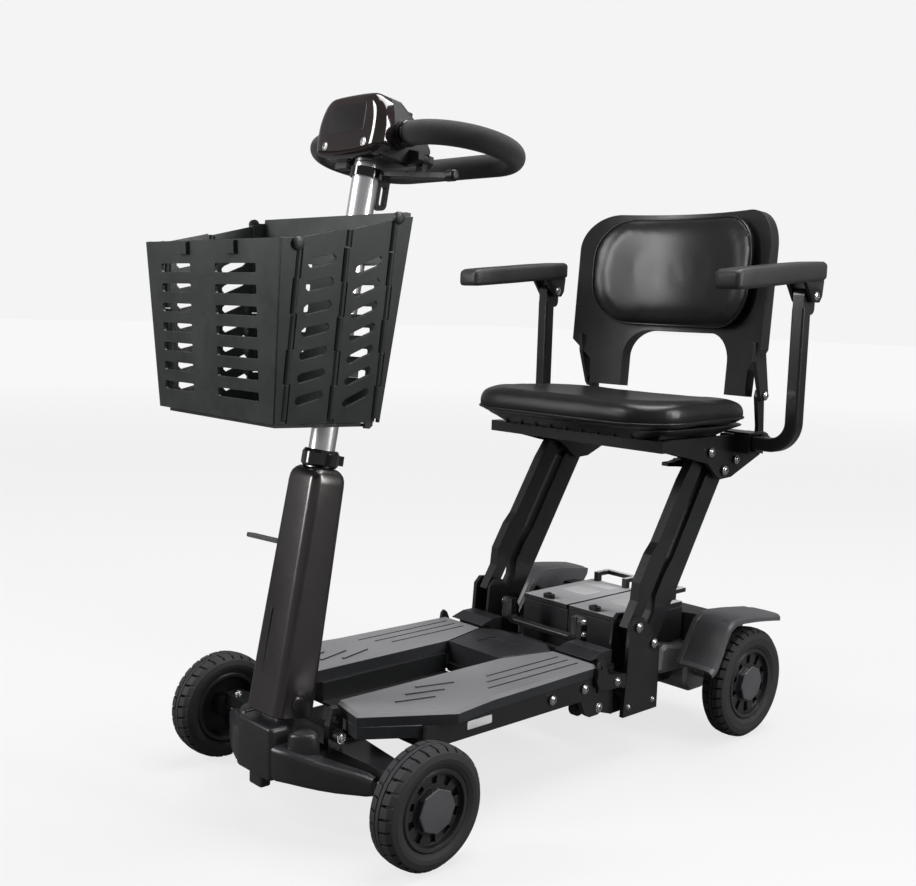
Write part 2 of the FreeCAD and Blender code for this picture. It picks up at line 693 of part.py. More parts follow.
back_panel = doc.addObject("PartDesign::Body", "basket_back_panel")
basket_place(back_panel, 0, -12, 610, 5.9, 0)
pad(back_panel, "XZ", -4, 0, [(-144, 2), (144, 2), (172, 292), (-172, 292)])
vent = pocket(back_panel, "XZ", -5, 1, ("r", 76, 66, 84, 12, 3), ("r", -76, 66, 84, 12, 3))
row_of(back_panel, vent, "Z", 180, 7)
pad(back_panel, "XZ", -4, 4, [(-172, 286), (172, 286), (172, 292), (-172, 292)])
lug = [(-13.5, -8.5), (-5, -8.5), (0, -4), (0, 6), (-4, 6), (-4, -0.3), (-13.5, -0.3)]
pad(back_panel, "YZ", 137, 141.5, lug)
pad(back_panel, "YZ", -141.5, -137, lug)
pocket(back_panel, "YZ", -142, 142, ("o", -9.64, -4.01, 4.6))
wings = basket_wing("basket_back_wing", [(82, 4), (86, 4), (106, 290), (82, 288)], 1)
basket_back = join("basket_back", [back_panel] + wings)

front_panel = doc.addObject("PartDesign::Body", "basket_front_panel")
basket_place(front_panel, 0, -178, 610, -2.4, 0)
pad(front_panel, "XZ", -4, 0, [(-147, 6), (147, 6), (171, 245), (-171, 245)])
vent = pocket(front_panel, "XZ", -5, 1, ("r", 66, 39.5, 100, 12, 3), ("r", -88, 39.5, 80, 12, 3))
row_of(front_panel, vent, "Z", 168, 7)
pad(front_panel, "XZ", -9, -3.9, [(50, 226), (72, 226), (72, 244), (50, 244)],
    [(-72, 226), (-50, 226), (-50, 244), (-72, 244)])
wings = basket_wing("basket_front_wing", [(-82, 4), (-89, 4), (-105, 243), (-82, 245)], -1)
join("basket_front", [front_panel] + wings)

floor = doc.addObject("PartDesign::Body", "basket_floor")
floor.Label = "basket_floor"
NODES.append(floor)
basket_place(floor, 0, -22, 609, BASKET_LEAN, 0)
pad(floor, "XY", -4, 0, [(-136, -150), (136, -150), (136, 0), (-136, 0)])
pad(floor, "YZ", -141.5, 141.5, ("o", 0, -2, 4))
grate = pocket(floor, "XY", -5, 1, [(-110, -30), (110, -30), (110, -20), (-110, -20)])
row_of(floor, grate, "Y", 100, 5, back=True)

bracket_block = doc.addObject("PartDesign::Body", "basket_bracket_block")
basket_place(bracket_block, 0, -12, 610, 5.9, 0)
pad(bracket_block, "XZ", -1, 56, [(-27, 60), (27, 60), (27, 84), (-27, 84)])
pad(bracket_block, "XZ", -1, 68, [(-27, 230), (27, 230), (27, 254), (-27, 254)])
mast_room = doc.addObject("Part::Cylinder", "mast_room")
bind(mast_room, "Radius", "mast_d/2 + 0.2")
mast_room.Height = 900
seat_in_frame(mast_room, "tiller")
bracket = doc.addObject("Part::Cut", "basket_bracket")
bracket.Base = bracket_block
bracket.Tool = mast_room
basket_back.Shapes = basket_back.Shapes + [bracket]

# ---- front half of the deck ---------------------------------------------------------------------

deck_frame = node("deck_frame")
pad(deck_frame, "XY", "beam_low", "beam_top", [
    ("-beam_out", 62), ("beam_out", 62), ("beam_out", 442), ("beam_out - beam_w", 442),
    ("beam_out - beam_w", 330), ("beam_w - beam_out", 330), ("beam_w - beam_out", 442),
    ("-beam_out", 442)])
pocket(deck_frame, "XY", "beam_low - 1", "beam_top + 1", [
    ("beam_w - beam_out", 100), ("beam_out - beam_w", 100),
    ("beam_out - beam_w", 292), ("beam_w - beam_out", 292)])
pad(deck_frame, "XY", "beam_low", "beam_top", [
    ("-deck_gap", 99), ("deck_gap", 99), ("deck_gap", 293), ("-deck_gap", 293)])
pocket(deck_frame, "XY", "beam_low + 4", 168, [
    ("5 - deck_gap", 61), ("deck_gap - 5", 61), ("deck_gap - 5", 331), ("5 - deck_gap", 331)])
pad(deck_frame, "XY", 120.3, 131, [(-58, 20), (58, 20), (58, 110), (-58, 110)])
bolts = pad(deck_frame, "YZ", "beam_out", "beam_out + 3",
            ("o", 332, 149, "bolt_d"), ("o", 411, 151, "bolt_d"))
mirror_in(deck_frame, [bolts])

arm = pad(deck_frame, "YZ", 180, "beam_out", [
    (404, 130.5), (418, 104), (428, 98), (450, 98), (462, 104), (464, 112), (446, 130.5)])
pin = pad(deck_frame, "YZ", 156, 181, ("o", 428, 110, 8))
mirror_in(deck_frame, [arm, pin])
pocket(deck_frame, "YZ", -200, 200, ("o", 451.7, 109.7, 10.4))
pad(deck_frame, "XY", 136, 149.8, [(-56, 329), (56, 329), (56, 455), (-56, 455)])


def foot_panel(name):
    """Foot panel with its skirt, raised ribs in front and long grooves behind."""
    body = node(name)
    edge = [("deck_gap", -6), (130, -20), (209, 108), (198, 190), (190, 440), (92, 440),
            ("deck_gap", 338)]
    pad(body, "XY", 166.2, "deck_top", edge)
    chamfer(body, 5, lambda item: level(item, value("deck_top")) and item.BoundBox.XMax > 128
            and item.BoundBox.YMax < 441 and item.BoundBox.YMin < 430)
    pocket(body, "XY", 150, "deck_top - 5", [
        ("deck_gap + 5", 0), (127, -12), (200, 106), (190, 188), (184, 434), (95, 434),
        ("deck_gap + 5", 336)])
    pad(body, "XY", 148, 166.4, [
        (96, -13), (130, -20), (182, 61), (173, 61), (127, -12), (100, -6)])
    for i in range(3):
        back = 120 + 34 * i
        left = 152 - 16 * i
        pad(body, "XY", "deck_top - 1", "deck_top + 2.5", [
            (left - 30, back - 62), (left - 26, back - 64), (left - 8, back), (left - 12, back + 2)])
    for i in range(3):
        left = 163 - 22 * i
        front = 212 + 20 * i
        pocket(body, "XY", "deck_top - 2", "deck_top + 1", [
            (left - 2, front), (left + 2, front), (left + 2, 424), (left - 2, 424)])
    return body


panel = foot_panel("foot_panel_left")
twin(panel, "foot_panel_right")

bridge = node("bridge_cover")
pad(bridge, "XY", 150, 186, [
    (-64, 338), (64, 338), (64, 346), (88, 440), (60, 462), (-60, 462), (-88, 440), (-64, 346)])
pocket(bridge, "XY", 149, 180, [
    (-58, 346), (58, 346), (80, 436), (58, 455), (-58, 455), (-80, 436)])
chamfer(bridge, 3, lambda edge: level(edge, 186) and edge.BoundBox.XMin > 30)
pocket(bridge, "XY", 183, 190, ("r", 0, 400, 74, 46, 8))

nose = node("nose_cover")
pad(nose, "XY", 78, 122, [
    (-46, -112), (46, -112), (56, -100), (104, -70), (182, -26), (182, -20), (60, -27),
    (32, -26), (32, -88), (-32, -88), (-32, -26), (-60, -27), (-182, -20), (-182, -26),
    (-104, -70), (-56, -100)])
pad(nose, "XY", 121.9, 160, [
    (-44, -112), (44, -112), (52, -104), (52, -98), (44, -106.5), (-44, -106.5), (-52, -98),
    (-52, -104)])
blocks = pad(nose, "XY", 121.9, 150, [(56, -94), (90, -74), (90, -42), (62, -42), (54, -60)], taper=-8)
mirror_in(nose, [blocks])
pad(nose, "XY", 60, 79, [(-18, -106), (18, -106), (18, -90), (-18, -90)])
fillet(nose, 4, lambda edge: runs(edge, "Z") and edge.BoundBox.YMax < -111.9)

# ---- rear half ----------------------------------------------------------------------------------

rear = node("rear_frame")
pad(rear, "XY", 84, 104, [
    (-176, 500), (176, 500), (176, 620), (120, 660), (120, 745), (-120, 745), (-120, 660),
    (-176, 620)])
pad(rear, "XY", 103.9, 170, [(-172, 500), (172, 500), (172, 511.6), (-172, 511.6)])
ears = pad(rear, "YZ", 170, 178, [
    (446, 122), (446, 100), (458, 98), (502, 84), (502, 170), (478, 170), (462, 130)])
plates = pad(rear, "YZ", 192.6, 199, [
    (434, 160), (440, 192), (446, 197), (452, 192), (464, 166), (510, 160), (510, 138), (464, 140),
    (440, 146)])
eye = pocket(rear, "YZ", 192, 200, ("o", 443, 181, 7))
feet = pad(rear, "YZ", 171, 199, [(500, 136), (510, 136), (510, 158), (500, 158)])
mirror_in(rear, [ears, plates, eye, feet])
pad(rear, "YZ", -179.8, 179.8, ("o", 451.7, 109.7, 10))
lug = pad(rear, "YZ", 86.4, 98, [
    (504, 169), (520, 169), (522, 226), (518, 234), (508, 234), (506, 226)])
pin = pad(rear, "YZ", 73, 98, ("o", 513, 226, 8))
mirror_in(rear, [lug, pin])

caps = node("hinge_covers")
cap = pad(caps, "YZ", 92, 172, [
    (466, 170.3), (502, 170.3), (502, 197), (474, 197), (446, 189), (446, 187.5), (466, 187.5)])
mirror_in(caps, [cap])

brackets = node("seat_brackets")
side = pad(brackets, "YZ", 187, 195, [
    (512, 79), (606, 79), (606, 188), (594, 210), (556, 250), (536, 252), (523, 240)])
inner = pad(brackets, "YZ", 150, 156, [
    (512, 104.2), (606, 104.2), (606, 188), (594, 210), (556, 250), (536, 252), (523, 240)])
sole = pad(brackets, "YZ", 150, 188, [(520.2, 104.2), (606, 104.2), (606, 114), (520.2, 114)])
pins = pad(brackets, "YZ", 150, 198, ("o", "post_y", "post_z", 12),
           ("o", "post_y + link_dy", "post_z + link_dz", 12))
mirror_in(brackets, [side, inner, sole, pins])

lift = node("lift_bar")
pad(lift, "XZ", 505, 520, [
    (86, 234), (86, 198), (76, 187), (-76, 187), (-86, 198), (-86, 234), (-74, 234), (-74, 203),
    (-70, 199), (70, 199), (74, 203), (74, 234)])
fillet(lift, 4, lambda edge: edge.BoundBox.ZMax < 200 and runs(edge, "X"))
pocket(lift, "YZ", -90, 90, ("o", 513, 226, 8.4))

drive = node("transaxle")
pad(drive, "YZ", -150, 150, ("r", 794, 101.5, 84, 84, 26))
pad(drive, "YZ", 122, 150, [
    (668, 118), (680, 112), (770, 108), (776, 140), (768, 150), (690, 166), (676, 160)])
pad(drive, "YZ", -223, 223, ("o", 794.4, 101.5, 30))
pad(drive, "YZ", -254.6, 254.6, ("o", 794.4, 101.5, 16))
pad(drive, "XY", 62, 84, [(-60, 745.5), (60, 745.5), (60, 770), (-60, 770)])
chamfer(drive, 6, lambda edge: abs(abs(edge.BoundBox.XMax) - 150) < 0.1
        and spans(edge)[0] < 0.1 and edge.BoundBox.YMax < 777 and edge.BoundBox.YMin > 660)

hull = node("rear_cover")
pad(hull, "XY", 150, 205, [
    (-116, 786), (116, 786), (150, 800), (196, 790), (196, 832), (150, 858), (-150, 858),
    (-196, 832), (-196, 790), (-150, 800)])
chamfer(hull, 12, lambda edge: level(edge, 205) and edge.BoundBox.YMin > 825)

fenders = node("fenders")
fender = pad(fenders, "YZ", 206, 274, [
    (652, 152), (664, 148), (704, 214), (712, 220), (868, 213), (870, 224), (722, 237),
    (698, 226)])
lip = pad(fenders, "YZ", 196.2, 207, [
    (652, 152), (664, 148), (704, 214), (760, 170), (832, 170), (868, 213), (870, 224),
    (722, 237), (698, 226)])
mirror_in(fenders, [fender, lip])

battery = node("battery_left")
pad(battery, "YZ", 1.2, "battery_w + 1.2", [
    (582, 104.5), (716, 104.5), (716, 152), (782, 152), (782, 219), (582, 219)])
chamfer(battery, 3, lambda edge: level(edge, 219))
pad(battery, "XY", 218.9, "battery_top", [
    (3, 580), ("battery_w", 580), ("battery_w", 782), (3, 782)])
pad(battery, "XY", "battery_top - 0.1", 246, [(16, 770), (26, 770), (26, 782), (16, 782)])
pad(battery, "XY", "battery_top - 0.1", 246, [
    ("battery_w - 24", 770), ("battery_w - 14", 770), ("battery_w - 14", 782), ("battery_w - 24", 782)])
pad(battery, "XY", 238, 246, [
    (16, 776), (26, 776), (26, 802), ("battery_w - 24", 802), ("battery_w - 24", 776),
    ("battery_w - 14", 776), ("battery_w - 14", 812), (16, 812)])
twin(battery, "battery_right")

latch = node("battery_latch_left")
pad(latch, "XY", 227.3, 235, ("r", 57, 590, 24, 15, 7))
pad(latch, "XY", 234.9, 237.5, ("o", 57, 590, 9))
twin(latch, "battery_latch_right")

# ---- seat posts and seat ------------------------------------------------------------------------

posts = node("seat_posts", "post")
post = pad(posts, "YZ", 158, 184, [
    (-17, -17), (15, -19), (20, 0), (20, "post_len"), (14, "post_len + 16"),
    (-12, "post_len + 16"), (-24, "post_len - 30"), (-24, 150), (-29, 118), (-29, 76), (-17, 50)])
hollow = pocket(posts, "YZ", 163, 179, [
    (-12, 56), (15, 30), (15, "post_len - 24"), (-12, "post_len - 24"), (-19, "post_len - 40"),
    (-19, 152), (-24, 119), (-24, 78)])
mirror_in(posts, [post, hollow])
pocket(posts, "YZ", -190, 190, ("o", 0, 0, 12.4))
pocket(posts, "YZ", -190, 190, ("o", 0, "post_len", 12.4))

links = node("seat_links", "link")
link = pad(links, "YZ", 165, 183, [
    (-12, -10), (10, -12), (15, 6), (15, "post_len - 20"), (8, "post_len + 12"),
    (-8, "post_len + 12"), (-13, "post_len"), (-20, "post_len - 70"), (-20, 150), (-26, 124),
    (-26, 70), (-12, 40)])
mirror_in(links, [link])
pocket(links, "YZ", -190, 190, ("o", 0, 0, 12.4))
pocket(links, "YZ", -190, 190, ("o", 0, "post_len", 13.4))

TOP_Y = 587.4 + 343.8 * math.sin(math.radians(31.4))
TOP_Z = 199 + 343.8 * math.cos(math.radians(31.4))

seat_frame = node("seat_frame")
pad(seat_frame, "XY", 536, 556, [(-207, 568), (207, 568), (207, 590), (-207, 590)])
plate = pad(seat_frame, "YZ", 190, 198, [
    (588, 538), (692, 513), (716, 508), (744, 484), (758, 476), (792, 478), (884, 514),
    (890, 540), (830, 556), (588, 556)])
inside = pad(seat_frame, "YZ", 148, 154, [
    (588, 540), (692, 516), (716, 508), (744, 484), (758, 476), (792, 478), (846, 500),
    (846, 530), (830, 556), (588, 556)])
boss = pad(seat_frame, "YZ", 149, 202, ("o", TOP_Y, TOP_Z, 12), ("o", TOP_Y - 44.9, TOP_Z + 35.9, 12))
stop = pad(seat_frame, "YZ", 197.9, 202, ("o", 802, 510, "bolt_d"))
socket = pad(seat_frame, "XY", 524, 527.8, [(153.9, 800), (230, 800), (230, 836), (153.9, 836)])
roof = pad(seat_frame, "XY", 558.2, 562, [(153.9, 800), (230, 800), (230, 836), (153.9, 836)])
cheek = pad(seat_frame, "XY", 524, 562, [(197, 796), (230, 796), (230, 800.2), (197, 800.2)])
rear_cheek = pad(seat_frame, "XY", 524, 562, [(197, 835.8), (230, 835.8), (230, 840), (197, 840)])
tube_room = pocket(seat_frame, "YZ", 147, 231, ("r", "arm_y", 543, 30, 30, 4))
mirror_in(seat_frame, [plate, inside, boss, stop, socket, roof, cheek, rear_cheek, tube_room])

pad(seat_frame, "YZ", 110, 149, ("o", 735, 503, 8))
upright = pad(seat_frame, "YZ", 197.5, 205, [
    (862, 524), (884, 516), (876, 625), (870, 637), (856, 637), (852, 625), (862, 570)])
pivot = pad(seat_frame, "YZ", 204, 216, ("o", "back_y", "back_z", 10))
stem_hole = pocket(seat_frame, "XZ", 834, 842, ("o", 219, 543, 8.6))
mirror_in(seat_frame, [upright, pivot, stem_hole])

pan = node("seat_pan")
low = new_sketch(pan, "XY", 556.3)
rounded(low, 0, 690, 330, 160, 30)
high = new_sketch(pan, "XY", 576)
rounded(high, 0, 686, "2*seat_half - 40", 290, 50)
shell = pan.newObject("PartDesign::AdditiveLoft", "seat_pan_shell")
shell.Profile = low
shell.Sections = [high]
pan.Tip = shell
rib = pocket(pan, "XY", 556, 570, [(-150, 640), (-90, 640), (-90, 722), (-150, 722)],
             [(-150, 734), (-90, 734), (-90, 816), (-150, 816)])
row_of(pan, rib, "X", 240, 4)

cushion = node("seat_cushion")
pad(cushion, "XY", 576.5, 630, ("r", 0, 669, "2*seat_half", 322, 62))
fillet(cushion, 16, lambda edge: level(edge, 630))
fillet(cushion, 9, lambda edge: level(edge, 576.5))


def crescent(body, low, high, half, front, edge, thick):
    """Curved slab, hollow to the front: front and edge are depths at its middle and its sides."""
    sketch = new_sketch(body, "XY", low)
    inner = Part.Arc(V(-half, edge, 0), V(0, front, 0), V(half, edge, 0))
    outer = Part.Arc(V(half, edge + thick, 0), V(0, front + thick, 0), V(-half, edge + thick, 0))
    for item in (inner, Part.LineSegment(V(half, edge, 0), V(half, edge + thick, 0)), outer,
                 Part.LineSegment(V(-half, edge + thick, 0), V(-half, edge, 0))):
        sketch.addGeometry(item)
    for item in range(4):
        sketch.addConstraint(Sketcher.Constraint("Block", item))
    feature = body.newObject("PartDesign::Pad", body.Name + "_slab")
    feature.Profile = sketch
    feature.Length = high - low
    body.Tip = feature


back = node("backrest_shell", "back")
crescent(back, -5, 345, value("back_half"), 15, -50, 26)
pocket(back, "XZ", -60, 50, [(-260, -80), (260, -80), (260, 380), (-260, 380)],
       ("r", 0, 140, "2*back_half - 2", 408, 76))
notch = pocket(back, "XZ", -60, 50, [
    ("back_half + 1", -6), (188, -6), (190, 44), ("back_half - 1", 84), ("back_half + 1", 84)])
mirror_in(back, [notch])
pocket(back, "XZ", -60, 50, ("r", 0, 12, 254, 200, 56))
ear = pad(back, "YZ", 206, 214, [
    (-46, 96), (-14, 96), (11, 6), (9, -8), (-6, -11), (-13, -4), (-40, 60)])
hole = pocket(back, "YZ", 205, 217, ("o", 0, 0, 10.4))
mirror_in(back, [ear, hole])

pad_back = node("backrest_pad", "back")
crescent(pad_back, 118, 336, 194, -10.8, -57, 25)
pocket(pad_back, "XZ", -60, 50, [(-260, 60), (260, 60), (260, 380), (-260, 380)],
       ("r", 0, 227, 384, 214, 84))

arm_tube = node("armrest_tube_left")
pipe(arm_tube, "XZ", [(160, 543), ("arm_x", 543), ("arm_x", 790)], 44,
     ("r", "arm_tube", "arm_tube", 4), "arm_y")
pad(arm_tube, "YZ", "arm_x - 11", "arm_x + 11", ("r", 825, 802, 36, 46, 12))
pocket(arm_tube, "YZ", "arm_x - 12", "arm_x + 12", ("o", 831, 812, 8.6))
twin(arm_tube, "armrest_tube_right")

armrest = node("armrest_left")
pad(armrest, "YZ", "arm_x - 26", "arm_x + 26", [
    (582, 814), (582, 842), (592, 849), (848, 874), (858, 866), (858, 838), (760, 830.5)])
fillet(armrest, 6, lambda edge: edge.BoundBox.ZMin > 841.5 and spans(edge)[0] < 0.1)
fillet(armrest, 6, lambda edge: runs(edge, "X") and edge.BoundBox.YMax < 583)
pad(armrest, "YZ", "arm_x - 21", "arm_x - 14", [
    (820, 801), (842, 801), (856, 840), (790, 836), (806, 820)])
pad(armrest, "YZ", "arm_x + 14", "arm_x + 21", [
    (820, 801), (842, 801), (856, 840), (790, 836), (806, 820)])
pad(armrest, "YZ", "arm_x - 24", "arm_x + 24", ("o", 831, 812, 8))
twin(armrest, "armrest_right")

width_knob = node("width_knob_left")
pad(width_knob, "XZ", 831.5, 844, ("o", 219, 543, 8))
pad(width_knob, "XZ", 843, 858, ("o", 219, 543, 38))
fillet(width_knob, 3, lambda edge: abs(edge.BoundBox.YMin - 858) < 0.1)
for turn in range(8):
    away = math.radians(45 * turn)
    pocket(width_knob, "XZ", 842, 859,
           ("o", 219 + 20.5 * math.sin(away), 543 + 20.5 * math.cos(away), 7))
twin(width_knob, "width_knob_right")

release = node("seat_release_lever")
pad(release, "YZ", 128, 142, [
    (744, 496), (744, 512), (726, 512), (692, 506), (674, 506), (674, 499), (700, 497), (726, 494)])
pocket(release, "YZ", 127, 143, ("o", 735, 503, 8.5))
fillet(release, 3, lambda edge: runs(edge, "X") and edge.BoundBox.YMax < 675)

rollers = node("transport_rollers")
wheel = pad(rollers, "YZ", 157, 167, ("o", 428, 110, 32))
mirror_in(rollers, [wheel])
pocket(rollers, "YZ", -170, 170, ("o", 428, 110, 8.6))
# ---- checks and files ---------------------------------------------------------------------------

doc.recompute()
doc.removeObject(scratch.Name)
os.makedirs("parts", exist_ok=True)
for item in doc.Objects:
    if "Invalid" in item.State or "Error" in item.State:
        raise ValueError("%s is not sound: %s" % (item.Name, item.State))
for item in NODES:
    if item.Shape.isNull() or not item.Shape.isValid() or not item.Shape.Solids:
        raise ValueError("%s has no sound shape" % item.Label)
    item.Shape.exportStep("parts/%s.step" % item.Label)
    box = item.Shape.BoundBox
    print("%-24s solids %d  x %.0f..%.0f  y %.0f..%.0f  z %.0f..%.0f" % (
        item.Label, len(item.Shape.Solids), box.XMin, box.XMax, box.YMin, box.YMax, box.ZMin, box.ZMax))
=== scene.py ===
import json
import math

import bmesh
import bpy
import numpy as np
from mathutils import Matrix, Vector


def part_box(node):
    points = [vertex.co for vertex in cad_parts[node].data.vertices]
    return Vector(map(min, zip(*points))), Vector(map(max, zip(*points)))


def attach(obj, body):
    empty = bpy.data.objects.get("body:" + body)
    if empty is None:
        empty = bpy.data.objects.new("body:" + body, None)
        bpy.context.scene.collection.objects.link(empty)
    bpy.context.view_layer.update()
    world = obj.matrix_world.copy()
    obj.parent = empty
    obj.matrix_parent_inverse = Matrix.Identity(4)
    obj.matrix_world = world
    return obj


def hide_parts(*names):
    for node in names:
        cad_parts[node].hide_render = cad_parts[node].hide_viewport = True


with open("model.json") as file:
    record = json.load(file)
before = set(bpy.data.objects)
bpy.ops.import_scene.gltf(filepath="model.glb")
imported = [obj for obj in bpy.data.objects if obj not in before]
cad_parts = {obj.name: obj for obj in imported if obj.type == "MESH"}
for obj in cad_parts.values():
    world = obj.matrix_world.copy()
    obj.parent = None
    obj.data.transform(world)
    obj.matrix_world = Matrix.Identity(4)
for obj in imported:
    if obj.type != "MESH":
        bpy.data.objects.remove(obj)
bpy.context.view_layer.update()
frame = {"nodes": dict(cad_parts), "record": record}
NODES = frame["nodes"]
scene = bpy.context.scene

# Part frame: x to the rider's left, y to the rear, z up, metres. Tables in millimetres count y
# from the front axle.
AXLE = -0.365
SIDES = ((1, "left"), (-1, "right"))


def mm(value):
    return value / 1000


# ---- materials ----------------------------------------------------------------------------------


class Graph:
    """Short way to add and link shader nodes."""

    def __init__(self, name):
        self.material = bpy.data.materials.new(name)
        self.material.use_nodes = True
        self.tree = self.material.node_tree
        self.shader = self.tree.nodes["Principled BSDF"]

    def add(self, kind, inputs=(), **settings):
        node = self.tree.nodes.new(kind)
        for key, setting in settings.items():
            setattr(node, key, setting)
        for key, source in dict(inputs).items():
            self.feed(node.inputs[key], source)
        return node

    def feed(self, socket, source):
        if isinstance(source, bpy.types.NodeSocket):
            self.tree.links.new(source, socket)
        else:
            socket.default_value = source

    def math(self, operation, *inputs):
        node = self.add("ShaderNodeMath", operation=operation)
        for socket, source in zip(node.inputs, inputs):
            self.feed(socket, source)
        return node.outputs[0]

    def span(self, source, low, high, to_low=0.0, to_high=1.0):
        node = self.add("ShaderNodeMapRange", {
            "Value": source, "From Min": low, "From Max": high,
            "To Min": to_low, "To Max": to_high})
        return node.outputs["Result"]

    def mix(self, factor, one, other):
        node = self.add("ShaderNodeMix", data_type="RGBA")
        self.feed(node.inputs[0], factor)
        self.feed(node.inputs[6], one)
        self.feed(node.inputs[7], other)
        return node.outputs[2]


def rgba(color, gain=1.0):
    return (color[0] * gain, color[1] * gain, color[2] * gain, 1.0)


def surface(name, color, rough, metal=0.0, grain=1400.0, bump=0.2, depth=0.0002, mottle=0.18,
            spread=0.07, wear=0.35, worn=None, rounding=0.0009, stretch=(1, 1, 1), coat=0.0,
            cells=False, top=None, sheen=0.0):
    """Material with grain, uneven colour and roughness, and paler worn edges.

    top is an optional (colour, lowest normal z, lowest height) for faces that look up; that paler
    tone is partly the part's own colour and partly painted light from above."""
    g = Graph(name)
    coords = g.add("ShaderNodeTexCoord")
    place = g.add("ShaderNodeMapping", {"Vector": coords.outputs["Object"], "Scale": stretch})
    spot = place.outputs["Vector"]
    cloud = g.add("ShaderNodeTexNoise", {"Vector": spot, "Scale": 11.0, "Detail": 5.0})
    cloud = cloud.outputs["Fac"]
    dust = g.add("ShaderNodeTexNoise", {"Vector": spot, "Scale": 70.0, "Detail": 4.0})
    dust = dust.outputs["Fac"]
    if cells:
        fine = g.add("ShaderNodeTexVoronoi", {"Vector": spot, "Scale": grain})
        fine = fine.outputs["Distance"]
    else:
        fine = g.add("ShaderNodeTexNoise", {"Vector": spot, "Scale": grain, "Detail": 2.0})
        fine = fine.outputs["Fac"]
    soft = g.add("ShaderNodeBevel", {"Radius": rounding}, samples=4)
    dent = g.add("ShaderNodeBump", {
        "Strength": bump, "Distance": depth, "Height": fine, "Normal": soft.outputs["Normal"]})
    low, high = rgba(color, 1 - mottle), rgba(color, 1 + mottle)
    base = g.mix(g.span(cloud, 0.3, 0.7), low, high)
    # faces that look up get a paler colour: partly the part's own top colour, partly painted light
    # falling from above
    if top:
        above = g.add("ShaderNodeSeparateXYZ", {"Vector": coords.outputs["Normal"]}).outputs[2]
        height = g.add("ShaderNodeSeparateXYZ", {"Vector": coords.outputs["Object"]}).outputs[2]
        up = g.math("MULTIPLY", g.span(above, top[1], top[1] + 0.1),
                    g.span(height, top[2], top[2] + 0.001))
        plate = g.mix(g.span(cloud, 0.3, 0.7), rgba(top[0], 0.93), rgba(top[0], 1.07))
        base = g.mix(up, base, plate)
    bare = g.add("ShaderNodeNewGeometry").outputs["Normal"]
    turn = g.add("ShaderNodeVectorMath", operation="DOT_PRODUCT")
    g.feed(turn.inputs[0], soft.outputs["Normal"])
    g.feed(turn.inputs[1], bare)
    edge = g.span(turn.outputs["Value"], 0.995, 0.86)
    edge = g.math("MULTIPLY", edge, g.span(dust, 0.35, 0.65, 0.25, 1.0))
    edge = g.math("MULTIPLY", edge, wear)
    worn = worn or tuple(0.5 * c + 0.16 for c in color)
    base = g.mix(edge, base, rgba(worn))
    g.feed(g.shader.inputs["Base Color"], base)
    even = g.math("ADD", g.math("MULTIPLY", cloud, 0.6), g.math("MULTIPLY", dust, 0.4))
    g.feed(g.shader.inputs["Roughness"],
           g.span(even, 0.3, 0.7, max(rough - spread, 0.02), rough + spread))
    g.feed(g.shader.inputs["Normal"], dent.outputs["Normal"])
    g.shader.inputs["Metallic"].default_value = metal
    g.shader.inputs["Specular IOR Level"].default_value = 0.4
    g.shader.inputs["Coat Weight"].default_value = coat
    g.shader.inputs["Coat Roughness"].default_value = 0.06
    g.shader.inputs["Sheen Weight"].default_value = sheen
    return g.material


